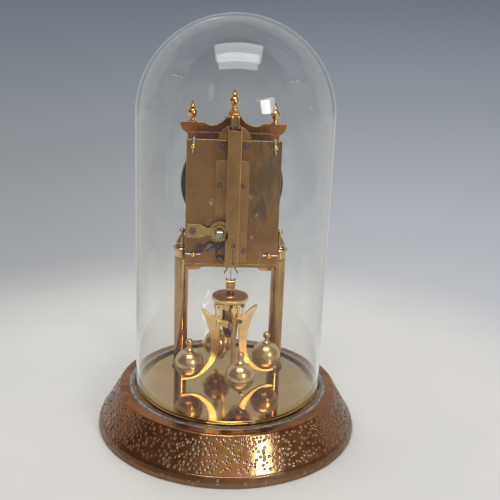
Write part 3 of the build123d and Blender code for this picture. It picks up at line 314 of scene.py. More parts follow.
def mirror_plate():
    """The base plate: mirror-polished brass with turning marks, dust and a worn patch by one pillar."""
    g = material_graph("mirror_plate")
    out = g.vector("LENGTH", g.vector("MULTIPLY", g.place, (1.0, 1.0, 0.0)), output="Value")
    rings = g.add("ShaderNodeTexNoise", {"W": out, "Scale": 1600.0, "Detail": 3.0}, noise_dimensions="1D")
    clouds = g.noise(38.0, 4.0, 0.6, twist=0.3)
    colour = g.mix(g.rise(clouds, 0.35, 0.7), (0.60, 0.395, 0.15), (0.50, 0.325, 0.12))
    worn_at = (-46.0, -32.0, plate_top)
    ragged = g.product(g.math("SUBTRACT", g.noise(140.0, 5.0, 0.7), 0.5), 0.016)
    worn = g.rise(g.math("ADD", g.gap_to(worn_at), ragged), 0.0135, 0.0105)
    colour = g.mix(g.product(worn, 0.75), colour, (0.50, 0.40, 0.27))
    dust = g.product(g.rise(g.cells(520.0), 0.10, 0.05), g.rise(g.noise(90.0, 2.0), 0.50, 0.60))
    colour = g.mix(g.product(dust, 0.7), colour, (0.16, 0.11, 0.06))
    # darker, unevenly, in the groove that the dome stands in
    groove = g.rise(out, 0.0622, 0.0630)
    groove_darkening = g.rise(g.noise(230.0, 4.0, 0.65, twist=0.5), 0.34, 0.64, 0.20, 0.80)
    colour = g.mix(g.product(groove, groove_darkening), colour, (0.26, 0.15, 0.06))
    smears = g.noise(24.0, 4.0, 0.6, twist=0.8)
    roughness = g.rise(smears, 0.40, 0.72, 0.035, 0.11)
    roughness = g.math("ADD", roughness, g.product(worn, 0.22))
    roughness = g.math("ADD", roughness, g.product(groove, 0.12))
    normal = g.bump(g.noise(55.0, 2.0), 0.00005, g.soft_normal(0.0002))
    normal = g.bump(rings.outputs["Fac"], 0.0000012, normal)
    return g.surface(colour, roughness, normal)


def patinated_copper():
    """The skirt: copper gone reddish brown, with a painted golden sheen on its +Y side, painted grey
    reflection on its flanks, and darker colour in the dimples.
    """
    g = material_graph("patinated_copper")
    pit = g.add("ShaderNodeAttribute", attribute_name="pit").outputs["Fac"]
    clouds = g.noise(26.0, 5.0, 0.6, twist=0.6)
    mottle = g.noise(110.0, 5.0, 0.65, twist=0.4)
    fine = g.noise(900.0, 3.0, 0.6)
    colour = g.mix(g.rise(clouds, 0.36, 0.66), (0.42, 0.175, 0.075), (0.26, 0.09, 0.037))
    colour = g.mix(g.rise(mottle, 0.48, 0.74, 0.0, 0.6), colour, (0.52, 0.29, 0.13))
    # painted sheen: the +Y side is painted golden, standing in for light falling on it
    painted_sheen_side = g.rise(g.axis("Y"), 0.060, 0.088)
    patches = g.rise(g.noise(70.0, 4.0, 0.6, twist=0.5), 0.42, 0.60)
    golden = g.mix(patches, (0.44, 0.30, 0.125), (0.58, 0.31, 0.165))
    colour = g.mix(g.product(painted_sheen_side, g.rise(mottle, 0.30, 0.62, 0.35, 0.85)), colour, golden)
    height = g.axis("Z")
    foot_band = g.rise(height, 0.0088, 0.0066)
    colour = g.mix(g.product(foot_band, 0.75), colour, (0.22, 0.13, 0.08))
    joint = g.product(g.rise(height, 0.0064, 0.0072), g.rise(height, 0.0088, 0.0080))
    colour = g.mix(g.product(joint, 0.35), colour, (0.07, 0.035, 0.02))
    # painted reflection: greyer, dimmer colour towards the flanks, at large |X|
    flank = g.rise(g.math("ABSOLUTE", g.axis("X")), 0.068, 0.088, 0.0, 0.75)
    colour = g.mix(flank, colour, (0.30, 0.195, 0.135))
    grey = g.product(g.rise(g.noise(60.0, 4.0, 0.7), 0.58, 0.74), 0.4)
    colour = g.mix(grey, colour, (0.24, 0.19, 0.155))
    # darker on the dimples' walls, paler metal at their bottoms, lighter on their raised lips
    colour = g.mix(g.rise(pit, 0.05, 0.45, 0.0, 0.75), colour, (0.12, 0.075, 0.05))
    colour = g.mix(g.rise(pit, 0.50, 0.85, 0.0, 0.85), colour, (0.50, 0.43, 0.38))
    lip = g.product(g.rise(pit, -0.02, -0.10), 0.55)
    colour = g.mix(lip, colour, (0.80, 0.60, 0.42))
    roughness = g.rise(mottle, 0.3, 0.7, 0.13, 0.24)
    roughness = g.math("ADD", roughness, g.rise(pit, 0.1, 0.4, 0.0, 0.08))
    roughness = g.math("ADD", roughness, g.product(foot_band, 0.12))
    hammer = g.cells(330.0, feature="SMOOTH_F1")
    normal = g.bump(g.product(hammer, g.rise(flank, 0.0, 0.6)), 0.0011)
    normal = g.bump(mottle, 0.00012, normal)
    normal = g.bump(fine, 0.000010, normal)
    return g.surface(colour, roughness, normal)


def grey_solder():
    g = material_graph("grey_solder")
    clouds = g.noise(240.0, 5.0, 0.65, twist=0.6)
    grain = g.noise(1900.0, 3.0, 0.6)
    colour = g.mix(g.rise(clouds, 0.38, 0.66), (0.42, 0.41, 0.40), (0.20, 0.185, 0.175))
    colour = g.mix(g.rise(g.noise(420.0, 4.0), 0.62, 0.76, 0.0, 0.6), colour, (0.40, 0.25, 0.13))
    roughness = g.rise(clouds, 0.35, 0.7, 0.28, 0.5)
    normal = g.bump(clouds, 0.00012)
    normal = g.bump(grain, 0.00002, normal)
    return g.surface(colour, roughness, normal, 0.9)


def blown_glass():
    """Clear glass for the eye, and free passage for the light that falls through it."""
    g = material_graph("blown_glass")
    seeds = g.noise(38.0, 2.0, 0.5, g.stretch(1.0, 1.0, 0.5))
    smears = g.noise(60.0, 4.0, 0.6, twist=0.8)
    normal = g.bump(seeds, 0.00006)
    roughness = g.rise(smears, 0.55, 0.8, 0.0, 0.035)
    clear_glass = {"Color": (0.985, 0.99, 0.985), "IOR": 1.46, "Roughness": roughness, "Normal": normal}
    glass = g.add("ShaderNodeBsdfGlass", clear_glass).outputs[0]
    clear = g.add("ShaderNodeBsdfTransparent", {"Color": (0.985, 0.99, 0.99)}).outputs[0]
    dust = g.product(g.rise(g.cells(300.0), 0.07, 0.03), g.rise(g.noise(45.0, 2.0), 0.48, 0.60))
    haze = g.add("ShaderNodeBsdfDiffuse", {"Color": (0.80, 0.82, 0.83)}).outputs[0]
    film = g.math("ADD", g.product(dust, 0.25), g.rise(smears, 0.50, 0.85, 0.0, 0.006))
    glass = g.add("ShaderNodeMixShader", {0: film, 1: glass, 2: haze}).outputs[0]
    path = g.add("ShaderNodeLightPath").outputs
    not_refracted = g.math("SUBTRACT", 1.0, path["Is Transmission Ray"])
    mirrored = g.product(path["Is Glossy Ray"], not_refracted)
    free = g.math("MAXIMUM", path["Is Shadow Ray"], path["Is Diffuse Ray"])
    free = g.math("MAXIMUM", free, mirrored)
    return g.finish(g.add("ShaderNodeMixShader", {0: free, 1: glass, 2: clear}).outputs[0])


def white_enamel():
    g = material_graph("white_enamel")
    clouds = g.noise(90.0, 4.0, 0.6)
    colour = g.mix(g.rise(clouds, 0.4, 0.75), (0.86, 0.85, 0.79), (0.78, 0.75, 0.66))
    veins = g.rise(g.cells(240.0, feature="DISTANCE_TO_EDGE"), 0.010, 0.004)
    veins = g.product(veins, g.rise(g.noise(70.0, 3.0), 0.56, 0.68))
    colour = g.mix(g.product(veins, 0.5), colour, (0.45, 0.40, 0.33))
    normal = g.bump(g.noise(160.0, 2.0), 0.00002)
    return g.surface(colour, 0.16, normal, 0.0, Coat_Weight=0.6, Coat_Roughness=0.05)


def screw_steel():
    """Blued screws; the smooth stud beside the click has gone red brown."""
    g = material_graph("screw_steel")
    clouds = g.noise(300.0, 4.0, 0.6, twist=0.5)
    grain = g.noise(2600.0, 2.0, 0.6, g.stretch(1.0, 1.0, 0.25))
    soft = g.soft_normal(0.00016)
    rim = g.product(g.edges(soft), g.rise(g.noise(700.0, 3.0), 0.30, 0.62))
    colour = g.mix(g.rise(clouds, 0.35, 0.68), (0.36, 0.275, 0.265), (0.21, 0.15, 0.145))
    stud_at = Vector((22.4, 0.0, 130.9)) * mm
    on_the_plate = g.vector("MULTIPLY", g.place, (1.0, 0.0, 1.0))
    gap = g.vector("DISTANCE", on_the_plate, tuple(stud_at), "Value")
    colour = g.mix(g.rise(gap, 0.0037, 0.0033), colour, (0.17, 0.075, 0.055))
    # painted shade: near black in the slots and round the heads, from an occlusion mask
    colour = g.mix(g.product(g.crevice(0.0011), 0.95), colour, (0.010, 0.007, 0.007))
    colour = g.mix(g.product(rim, 0.8), colour, (0.56, 0.47, 0.42))
    roughness = g.rise(grain, 0.3, 0.7, 0.24, 0.40)
    return g.surface(colour, roughness, g.bump(grain, 0.000004, soft))


def black_enamel(name, colour, smooth, rough):
    g = material_graph(name)
    clouds = g.noise(300.0, 4.0, 0.6)
    soft = g.soft_normal(0.0002)
    rim = g.product(g.edges(soft), g.rise(g.noise(900.0, 3.0), 0.50, 0.66))
    worn = tuple(min(1.0, part * 6.0 + 0.05) for part in colour)
    tint = g.mix(g.rise(clouds, 0.4, 0.7), colour, tuple(part * 0.6 for part in colour))
    tint = g.mix(g.product(rim, 0.6), tint, worn)
    return g.surface(tint, g.rise(clouds, 0.3, 0.7, smooth, rough), g.bump(clouds, 0.00002, soft), 0.0,
                     Specular_IOR_Level=0.2)


# ---------------------------------------------------------------- mesh helpers
def make_piece(name, points, faces, material, smooth=True):
    """A mesh object from points in metres."""
    mesh = bpy.data.meshes.new(name)
    mesh.from_pydata([tuple(p) for p in points], [], faces)
    mesh.validate()
    mesh.polygons.foreach_set("use_smooth", [smooth] * len(mesh.polygons))
    mesh.materials.append(material)
    piece = bpy.data.objects.new(name, mesh)
    bpy.context.scene.collection.objects.link(piece)
    return piece


def around(radius, angle, z):
    """Points of a turned surface, in metres, from radii and heights in millimetres."""
    height = z + 0 * radius
    return np.stack([radius * np.cos(angle), radius * np.sin(angle), height], axis=2).reshape(-1, 3) * mm


def prism_sides(base, corners):
    """Quads between a closed row of points that starts at base and the next row."""
    sides = []
    for k in range(corners):
        n = (k + 1) % corners
        sides.append([base + k, base + n, base + corners + n, base + corners + k])
    return sides


def ring_faces(rows, columns, closed_rows=True):
    """Quads of a grid of rows of points that each close on themselves."""
    row = np.arange(rows if closed_rows else rows - 1)
    column = np.arange(columns)
    here = (row[:, None] * columns + column[None, :]).ravel()
    right = (row[:, None] * columns + (column[None, :] + 1) % columns).ravel()
    above = (((row[:, None] + 1) % rows) * columns + column[None, :]).ravel()
    corner = (((row[:, None] + 1) % rows) * columns + (column[None, :] + 1) % columns).ravel()
    return np.stack([here, right, corner, above], axis=1).tolist()


def resample(outline, steps):
    """An outline of (radius, z) points, each stretch cut into its own number of steps."""
    points = []
    for (r0, z0), (r1, z1), count in zip(outline, outline[1:] + outline[:1], steps):
        for k in range(count):
            share = k / count
            points.append((r0 + (r1 - r0) * share, z0 + (z1 - z0) * share))
    return np.array(points)


def waves(angle, height, count, seed, longest, shortest):
    """Smooth, seeded unevenness round a turned surface, about -1 to 1.

    It sums count waves, each with between longest and shortest lobes in a turn.
    """
    dice = random.Random(seed)
    total = np.zeros(np.broadcast(angle, height).shape)
    for _ in range(count):
        lobes = dice.randint(longest, shortest)
        lean = dice.uniform(-0.10, 0.10)
        size = dice.uniform(0.4, 1.0)
        start = dice.uniform(0, 2 * math.pi)
        total = total + size * np.cos(lobes * angle + lean * height + start)
    return total / count


# ---------------------------------------------------------------- dimpled copper skirt, in millimetres
cone_foot = (91.6, 7.9)
cone_head = (78.9, skirt_high.z - 1.1)
cone_middle_radius = 85.0
band_radius = 93.0


def crowding(angle):
    """How thickly the dimples lie at an angle from +X, as a share of the thickest."""
    clumps = 0.5 + 0.5 * math.sin(3.1 * angle + 0.7) * math.sin(7.3 * angle + 1.9)
    return 0.45 + 0.55 * clumps


def scatter_dimples(low, high, mean_radius, wanted, seed):
    """Seeded places (angle, z) and sizes (radius, depth) that keep clear of each other."""
    smallest, largest = 0.78, 1.16
    shallowest, deepest = 0.38, 0.52        # shares of a dimple's radius
    slant = 1.15                            # length along the cone for a millimetre of height
    closest = 0.92                          # share of two radii
    dice = random.Random(seed)
    placed = []
    tries = 0
    while len(placed) < wanted and tries < 60 * wanted:
        tries += 1
        angle = dice.uniform(0, 2 * math.pi)
        if dice.random() > crowding(angle):
            continue
        z = dice.uniform(low, high)
        radius = dice.uniform(smallest, largest)
        clear = True
        for other_angle, other_z, other_radius, _ in placed:
            turn = (angle - other_angle + math.pi) % (2 * math.pi) - math.pi
            gap = math.hypot(turn * mean_radius, slant * (z - other_z))
            if gap < closest * (radius + other_radius):
                clear = False
                break
        if clear:
            placed.append((angle, z, radius, radius * dice.uniform(shallowest, deepest)))
    return placed


def press_dimples(marks, profile, shown, outward, angle, radius, z):
    """Sinks the marks into the grid of radii and heights, in place.

    Returns a grid that is 1 at the bottom of a dimple, 0 on open metal and below 0 on a raised lip.
    """
    lip_at, lip_width = 1.10, 0.16          # shares of a dimple's radius
    lip_height = 0.05
    pit_on_lip = 0.16
    columns = angle.shape[1]
    arc_step = 2 * math.pi / columns
    pit = np.zeros(radius.shape)
    for at, height, size, depth in marks:
        near_rows = np.where((np.abs(profile[:, 1] - height) < 2.2 * size) & shown)[0]
        if len(near_rows) == 0:
            continue
        reach = int(1.6 * size / (cone_middle_radius * arc_step)) + 1
        first = int(round(at / arc_step))
        near = np.arange(first - reach, first + reach + 1) % columns
        turn = (angle[0, near] - at + math.pi) % (2 * math.pi) - math.pi
        local_radius = radius[near_rows][:, :1]
        rise = (profile[near_rows, 1] - height)[:, None] / outward[0]
        gap = np.hypot(turn[None, :] * local_radius, rise) / size
        bowl = np.clip(1.0 - gap ** 2, 0.0, 1.0) ** 0.85
        lip = np.exp(-((gap - lip_at) / lip_width) ** 2)
        patch = np.ix_(near_rows, near)
        pit[patch] = np.where(bowl > pit[patch], bowl, pit[patch])
        pit[patch] -= np.where(bowl > 0, 0.0, pit_on_lip * lip)
        push = depth * bowl - lip_height * lip
        radius[patch] -= push * outward[0]
        z[patch] -= push * outward[1]
    return pit


def dimpled_skirt():
    """The spun copper skirt with its foot band, dents, scattered dimples and a "pit" value per point."""
    columns = 1536
    top = skirt_high.z
    outline = [
        (91.0, 0.3), (91.6, 0.0), (93.3, 0.0), (foot_radius, 0.7), (foot_radius - 0.3, 3.6), (92.5, 6.9),
        (92.1, 7.5), cone_foot, cone_head, (78.2, top - 0.45), (77.3, top - 0.25),
        (70.3, top), (70.2, 26.2), (66.2, 26.0), (66.0, 24.8), (71.4, 24.8), (71.4, 29.5), (76.9, 29.1),
        (90.2, 7.2), (91.2, 1.6),
    ]
    steps = [1, 2, 2, 9, 10, 3, 3, 76, 3, 3, 12, 3, 3, 1, 3, 3, 3, 4, 3, 1]
    foot_to_cone = slice(sum(steps[:2]), sum(steps[:9]))
    band = slice(sum(steps[:3]), sum(steps[:6]))
    profile = resample(outline, steps)
    rows = len(profile)
    angle = np.linspace(0, 2 * math.pi, columns, endpoint=False)[None, :]
    radius = np.repeat(profile[:, :1], columns, axis=1)
    z = np.repeat(profile[:, 1:], columns, axis=1)
    shown = np.zeros(rows, bool)
    shown[foot_to_cone] = True
    slope = math.atan2(cone_head[1] - cone_foot[1], cone_foot[0] - cone_head[0])
    outward = (math.sin(slope), math.cos(slope))
    marks = scatter_dimples(9.2, top - 2.0, cone_middle_radius, wanted=1080, seed=11)
    marks += scatter_dimples(1.6, 6.0, band_radius, wanted=60, seed=23)
    pit = press_dimples(marks, profile, shown, outward, angle, radius, z)
    dents = waves(angle, z, 14, 5, 5, 40) * 0.16 + waves(angle, z, 10, 9, 60, 150) * 0.035
    radius += shown[:, None] * dents * outward[0]
    radius[band] += waves(angle, z[band], 12, 31, 8, 46) * 0.28
    radius = np.minimum(radius, foot_radius + 0.25)
    points = around(radius, angle, z)
    skirt = make_piece("dimpled_skirt", points, ring_faces(rows, columns), patinated_copper())
    attribute = skirt.data.attributes.new("pit", "FLOAT", "POINT")
    attribute.data.foreach_set("value", pit.astype(np.float32).ravel())
    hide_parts("base_skirt")
    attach(skirt, "clock_frame")


def solder_bead():
    """The uneven ring of solder that runs over the joint between copper and brass."""
    columns = 720
    rows = 13
    seam_top = 30.86
    seam_width = seam_high.x - seat_radius
    angle = np.linspace(0, 2 * math.pi, columns, endpoint=False)[None, :]
    spread = 1.7 + 0.9 * waves(angle, 0.0, 16, 41, 3, 30) + 0.7 * waves(angle, 0.0, 14, 43, 30, 90)
    height = 0.42 + 0.22 * waves(angle, 0.0, 16, 47, 8, 60)
    creep = 0.25 * waves(angle, 0.0, 12, 53, 12, 70)
    share = np.linspace(0.0, 1.0, rows)[:, None]
    radius = seat_radius + creep * (1 - share) + share * (seam_width + spread)
    crest = np.sin(np.clip(share, 0, 1) * math.pi) ** 0.7
    ripple = 0.06 * waves(angle + 0 * share, 9.0 * share, 18, 59, 20, 160)
    z = seam_top - 0.04 * share + (height + ripple) * crest
    underside = [(seam_high.x - 0.1, 29.9), (seat_radius + 0.02, seam_low.z + 0.2)]
    for low_radius, low_z in underside:
        radius = np.concatenate([radius, np.full((1, columns), low_radius)])
        z = np.concatenate([z, np.full((1, columns), low_z)])
    bead = make_piece("solder_bead", around(radius, angle, z), ring_faces(rows + 2, columns), grey_solder())
    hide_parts("solder_seam")
    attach(bead, "clock_frame")


# ---------------------------------------------------------------- glass dome
def dome_sections(wall):
    """(radius, z) from the foot up over the crown, outside, and back down and round the foot, inside."""
    lip = 0.9
    side_rows = 46
    crown_rows = 44
    foot_rows = 8
    inner_radius = dome_radius - wall
    crown_z = dome_top - dome_radius
    heights = np.linspace(dome_foot + lip, crown_z, side_rows)
    outside = [(dome_radius, z) for z in heights]
    for step in range(1, crown_rows):
        lift = math.radians(90 * step / crown_rows)
        outside.append((dome_radius * math.cos(lift), crown_z + dome_radius * math.sin(lift)))
    inside = []
    for step in range(crown_rows - 1, 0, -1):
        lift = math.radians(90 * step / crown_rows)
        inside.append((inner_radius * math.cos(lift), crown_z + inner_radius * math.sin(lift)))
    inside += [(inner_radius, z) for z in np.linspace(crown_z, dome_foot + lip, side_rows)]
    middle = dome_radius - wall / 2
    for step in range(1, foot_rows):
        turn = math.pi * step / foot_rows
        inside.append((middle - wall / 2 * math.cos(turn), dome_foot + lip - lip * math.sin(turn)))
    return np.array(outside), np.array(inside)


def blown_dome():
    """The dome as blown: a wall of nearly even thickness, slightly wavy, with a fire-rounded foot."""
    columns = 256
    wall = 2.0
    outside, inside = dome_sections(wall)
    angle = np.linspace(0, 2 * math.pi, columns, endpoint=False)[None, :]
    skins = []
    for part, seed, depth in ((outside, 71, 0.10), (inside, 73, 0.13)):
        radius = part[:, :1]
        z = part[:, 1:]
        wobble = waves(angle, z * 0.35, 12, seed, 2, 9) * depth
        fade = np.clip(radius / 20.0, 0.0, 1.0) * np.clip((z - dome_foot) / 6.0, 0.0, 1.0)
        radius = radius + np.minimum(wobble, 0.25) * fade
        skins.append(around(radius, angle, z))
    poles = np.array([[0, 0, dome_top], [0, 0, dome_top - wall]]) * mm
    points = np.concatenate(skins + [poles])
    start = len(outside) * columns
    faces = ring_faces(len(outside), columns, False)
    faces += [[start + i for i in face] for face in ring_faces(len(inside), columns, False)]
    top = start + len(inside) * columns
    under = top + 1
    last = start - columns
    end = top - columns
    for k in range(columns):
        n = (k + 1) % columns
        faces.append([last + k, last + n, top])
        faces.append([start + n, start + k, under])
        faces.append([end + k, end + n, n, k])
    dome = make_piece("blown_dome", points, faces, blown_glass())
    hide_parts("glass_dome")
    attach(dome, "dome")


# ---------------------------------------------------------------- springs rebuilt as pieces of their own
def suspension_strip():
    """The suspension spring, cut into short lengths along its height."""
    low, high = span("suspension_spring")
    middle = (low + high) / 2
    half = (high - low) / 2
    lengths = 90
    section = [(1.0, -0.6), (1.0, 0.6), (0.9, 1.0), (-0.9, 1.0),
               (-1.0, 0.6), (-1.0, -0.6), (-0.9, -1.0), (0.9, -1.0)]
    corners = len(section)
    points = []
    faces = []
    for length in range(lengths + 1):
        z = low.z + (high.z - low.z) * length / lengths
        points += [Vector((middle.x + half.x * u, middle.y + half.y * v, z)) * mm for u, v in section]
    for length in range(lengths):
        faces += prism_sides(corners * length, corners)
    faces.append(list(range(corners))[::-1])
    faces.append([corners * lengths + k for k in range(corners)])
    strip = make_piece("suspension_strip", points, faces, spring_steel, False)
    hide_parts("suspension_spring")
    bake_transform(strip)


def click_leaf():
    """The click spring, as a piece of its own with its doubled points welded."""
    shape = bmesh.new()
    shape.from_mesh(nodes["click_spring"].data)
    bmesh.ops.remove_doubles(shape, verts=shape.verts, dist=0.001 * mm)
    shape.verts.index_update()
    points = [vertex.co.copy() for vertex in shape.verts]
    faces = [[vertex.index for vertex in face.verts] for face in shape.faces]
    shape.free()
    leaf = make_piece("click_leaf", points, faces, click_steel, False)
    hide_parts("click_spring")
    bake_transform(leaf)


# ---------------------------------------------------------------- dial marks, in millimetres
ink_height = 0.07


def hour_number(hour):
    """The mesh of an upright hour number, with its back on the enamel: points in metres, and faces."""
    number_radius = 25.6
    number_height = 8.2
    curve = bpy.data.curves.new(f"hour_{hour}", "FONT")
    curve.body = str(hour)
    curve.size = number_height * mm
    curve.align_x = "CENTER"
    curve.align_y = "CENTER"
    curve.extrude = ink_height / 2 * mm
    curve.resolution_u = 4
    text = bpy.data.objects.new(f"hour_{hour}", curve)
    bpy.context.scene.collection.objects.link(text)
    bpy.context.view_layer.update()
    mesh = bpy.data.meshes.new_from_object(text.evaluated_get(bpy.context.evaluated_depsgraph_get()))
    out = math.radians(90 - 30 * hour)
    shift = Vector((number_radius * math.cos(out), -ink_height / 2, number_radius * math.sin(out))) * mm
    centre = Vector((dial_centre.x, dial_front, dial_centre.z)) * mm
    place = Matrix.Translation(centre + shift) @ Matrix.Rotation(math.radians(90), 4, "X")
    points = [place @ vertex.co for vertex in mesh.vertices]
    faces = [list(polygon.vertices) for polygon in mesh.polygons]
    bpy.data.objects.remove(text)
    bpy.data.meshes.remove(mesh)
    return points, faces


def minute_mark(minute):
    """The mesh of a minute mark, longer and broader at each hour: points in metres, and faces."""
    ring_radius = 32.4
    at_hour = minute % 5 == 0
    long = 1.5 if at_hour else 0.75
    half = 0.42 if at_hour else 0.16
    out = math.radians(6 * minute)
    points = []
    for y in (0.0, -ink_height):
        for along, side in ((-long, -half), (long * 0.4, -half), (long * 0.4, half), (-long, half)):
            x = (ring_radius + along) * math.cos(out) - side * math.sin(out)
            z = (ring_radius + along) * math.sin(out) + side * math.cos(out)
            points.append(Vector((dial_centre.x + x, dial_front + y, dial_centre.z + z)) * mm)
    return points, [[3, 2, 1, 0], [4, 5, 6, 7]] + prism_sides(0, 4)


def dial_marks():
    """Plain upright hour numbers and a ring of minute marks, raised a hair above the enamel."""
    points = []
    faces = []
    marks = [hour_number(hour) for hour in range(1, 13)] + [minute_mark(minute) for minute in range(60)]
    for mark_points, mark_faces in marks:
        base = len(points)
        points += mark_points
        faces += [[base + i for i in face] for face in mark_faces]
    ink = black_enamel("dial_ink", (0.012, 0.012, 0.014), 0.25, 0.4)
    piece = make_piece("dial_marks", points, faces, ink, False)
    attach(piece, "clock_frame")


dimpled_skirt()
solder_bead()
blown_dome()
suspension_strip()
click_leaf()
dial_marks()

# ---------------------------------------------------------------- materials on the CAD nodes
finishes = {
    stained_plate(): ["back_plate"],
    mirror_plate(): ["base_plate"],
    guard_brass: ["suspension_guard"],
    bridge_brass: ["click_bridge"],
    pediment_brass: ["pediment_plate"],
    frame_brass: ["front_plate", "platform"],
    plate_brass: ["suspension_bracket", "upper_block", "fork"],
    pillar_brass: ["pillars"],
    turned_brass: ["pillar_caps", "finials", "dial_bezel", "hand_nut", "lower_block", "pendulum_yoke"],
    disc_brass: ["regulating_disc"],
    ball_brass: ["pendulum_balls", "ball_knobs"],
    arm_brass: ["pendulum_arms", "arm_clamps"],
    column_brass: ["pendulum_stem"],
    wheel_brass: ["barrel", "barrel_cap", "first_wheel", "second_wheel", "fourth_wheel", "centre_wheel",
                  "third_wheel", "escape_wheel", "minute_wheel", "hour_wheel", "ratchet_wheel"],
    post_gold: ["plate_posts"],
    screw_steel(): ["rear_screws"],
    blued_steel: ["under_screws", "arm_screws", "hour_hand", "minute_hand", "mainspring"],
    click_steel: ["click"],
    bright_steel: ["taper_pins", "winding_arbor", "first_arbor", "second_arbor", "fourth_arbor",
                   "centre_arbor", "third_arbor", "escape_arbor", "anchor", "anchor_arbor", "cannon_pinion"],
    black_enamel("black_paint_worn", (0.016, 0.015, 0.015), 0.30, 0.45): ["dial_pan"],
    white_enamel(): ["dial_plate"],
}
for material, names in finishes.items():
    for name in names:
        for slot in nodes[name].material_slots:
            slot.material = material


# ---------------------------------------------------------------- floor, light and camera
def pale_floor():
    """A round matt floor that fades out before its edge."""
    radius = 1.2
    rings = 24
    columns = 96
    fade_from, fade_to = 0.20, 0.42
    points = [(0.0, 0.0, 0.0)]
    for ring in range(1, rings + 1):
        for column in range(columns):
            turn = 2 * math.pi * column / columns
            out = radius * ring / rings
            points.append((out * math.cos(turn), out * math.sin(turn), 0.0))
    faces = [[0, 1 + k, 1 + (k + 1) % columns] for k in range(columns)]
    for ring in range(rings - 1):
        base = 1 + ring * columns
        for k in range(columns):
            n = (k + 1) % columns
            faces.append([base + k, base + columns + k, base + columns + n, base + n])
    g = material_graph("pale_floor")
    clouds = g.noise(7.0, 4.0, 0.5)
    colour = g.mix(g.rise(clouds, 0.4, 0.7), (0.63, 0.61, 0.58), (0.59, 0.575, 0.55))
    solid = g.add("ShaderNodeBsdfPrincipled", {"Base Color": colour, "Roughness": 0.55}).outputs[0]
    empty = g.add("ShaderNodeBsdfTransparent").outputs[0]
    faded = g.rise(g.vector("LENGTH", g.place, output="Value"), fade_from, fade_to)
    shader = g.add("ShaderNodeMixShader", {0: faded, 1: solid, 2: empty}).outputs[0]
    make_piece("floor", points, faces, g.finish(shader))


def soft_light(name, place, target, width, height, radiance, colour):
    """A rectangular area light that faces its target, with lengths in metres."""
    light = bpy.data.lights.new(name, "AREA")
    light.shape = "RECTANGLE"
    light.size = width
    light.size_y = height
    light.energy = radiance * math.pi * width * height
    light.color = colour
    lamp = bpy.data.objects.new(name, light)
    bpy.context.scene.collection.objects.link(lamp)
    lamp.location = place
    aim = Vector(target) - Vector(place)
    lamp.rotation_euler = aim.to_track_quat("-Z", "Y").to_euler()
    return lamp


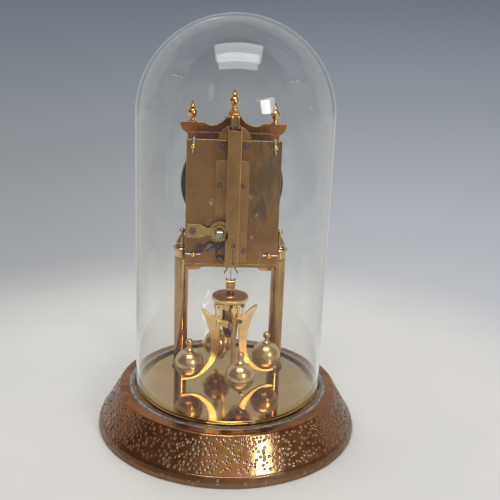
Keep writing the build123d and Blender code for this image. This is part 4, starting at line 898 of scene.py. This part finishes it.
def studio():
    """A soft grey-blue backdrop for the eye, and a dim room with bright panels for the metal to mirror."""
    world = bpy.data.worlds.new("studio")
    bpy.context.scene.world = world
    g = Graph(world, "Generated")
    path = g.add("ShaderNodeLightPath").outputs
    bounce = path["Ray Depth"]              # 1 for the camera's ray, and 1 more after each bounce
    height = g.axis("Z")
    side = g.axis("Y")
    turn = g.math("ARCTAN2", g.product(g.axis("X"), -1.0), side)    # from +Y towards -X, in radians

    # what is seen past the clock and through its glass
    lift = g.add("ShaderNodeMapRange", {"Value": height, "From Min": -0.40, "From Max": 0.0}).outputs[0]
    near_floor = g.mix(g.rise(g.axis("X"), 0.26, -0.26), (0.42, 0.425, 0.43), (0.58, 0.59, 0.62))
    backdrop = g.mix(lift, near_floor, (0.115, 0.145, 0.185))

    # what the metal mirrors: a pale wall beyond the clock, a dim room with a warm glow, and a table
    wall = g.mix(g.rise(height, 0.0, 0.8), (0.50, 0.51, 0.52), (0.56, 0.56, 0.56))
    dim = g.mix(g.rise(g.axis("X"), 0.3, -0.5), (0.15, 0.12, 0.105), (0.27, 0.22, 0.19))
    room = g.mix(g.rise(side, -0.40, -0.05), wall, dim)
    glow_towards = Vector((0.02, 0.87, 0.49)).normalized()
    glow = g.vector("DOT_PRODUCT", g.place, tuple(glow_towards), "Value")
    room = g.mix(g.rise(glow, 0.88, 0.995), room, (0.64, 0.51, 0.36))
    table = g.mix(g.rise(g.math("ABSOLUTE", turn), 0.24, 0.60), (0.30, 0.28, 0.26), (0.66, 0.63, 0.59))

    # a bright strip on the table that only the metal under the dome mirrors
    strip = g.product(g.rise(turn, 0.34, 0.38), g.rise(turn, 0.50, 0.46))
    strip = g.product(strip, g.math("GREATER_THAN", bounce, 3.5))
    table = g.mix(strip, table, (2.6, 2.5, 2.3))
    room = g.mix(g.rise(height, 0.04, -0.22), room, table)

    # rays that turn back inside the dome's wall see the backdrop too, or the dome's outline is white
    in_the_wall = g.product(g.math("COMPARE", bounce, 3.0), g.math("SUBTRACT", 1.0, path["Is Diffuse Ray"]))
    seen = g.math("MAXIMUM", path["Is Camera Ray"], path["Is Transmission Ray"])
    seen = g.math("MAXIMUM", seen, in_the_wall)
    soft = g.mix(path["Is Diffuse Ray"], room, (0.72, 0.73, 0.74))
    sky = g.add("ShaderNodeBackground", {"Color": g.mix(seen, soft, backdrop)}).outputs[0]
    g.finish(sky, "ShaderNodeOutputWorld")


pale_floor()
studio()
aim = (0.0, 0.0, 0.13)
soft_light("window", (-0.61, 1.00, 0.60), aim, 0.21, 0.30, 16.0, (1.0, 0.98, 0.95))
soft_light("ceiling", (0.0, 0.47, 1.55), aim, 0.95, 0.50, 6.0, (1.0, 0.99, 0.97))
soft_light("front_fill", (0.5, -1.5, 0.9), aim, 1.0, 0.7, 2.2, (0.98, 0.99, 1.0)).visible_glossy = False

camera_azimuth = math.radians(1.9)      # from +Y towards +X
camera_away = 0.5885                    # metres, from the clock's axis
camera_height = 0.3268                  # metres
camera_aside = math.radians(1.26)       # how far it looks past the axis
camera_pitch = 0.318                    # radians, downwards
camera_roll = 0.039                     # radians
camera_lens = 63.5                      # millimetres

camera_place = Vector((camera_away * math.sin(camera_azimuth), camera_away * math.cos(camera_azimuth),
                       camera_height))
camera_yaw = camera_azimuth + camera_aside
level = math.cos(camera_pitch)
ahead = Vector((-math.sin(camera_yaw) * level, -math.cos(camera_yaw) * level, -math.sin(camera_pitch)))
right = ahead.cross(Vector((0, 0, 1))).normalized()
up = right.cross(ahead)
camera_x = right * math.cos(camera_roll) + up * math.sin(camera_roll)
camera_y = -right * math.sin(camera_roll) + up * math.cos(camera_roll)
camera_turn = Matrix((camera_x, camera_y, -ahead)).transposed().to_4x4()
camera_data = bpy.data.cameras.new("camera")
camera_data.lens = camera_lens
camera_data.sensor_width = 36.0
camera_data.clip_start = 0.02
camera = bpy.data.objects.new("camera", camera_data)
bpy.context.scene.collection.objects.link(camera)
camera.matrix_world = Matrix.Translation(camera_place) @ camera_turn
bpy.context.scene.camera = camera

bpy.context.scene.view_settings.view_transform = "Standard"
bpy.context.scene.cycles.max_bounces = 16
bpy.context.scene.cycles.transmission_bounces = 12
bpy.context.scene.cycles.transparent_max_bounces = 16
bpy.context.scene.cycles.sample_clamp_indirect = 6.0
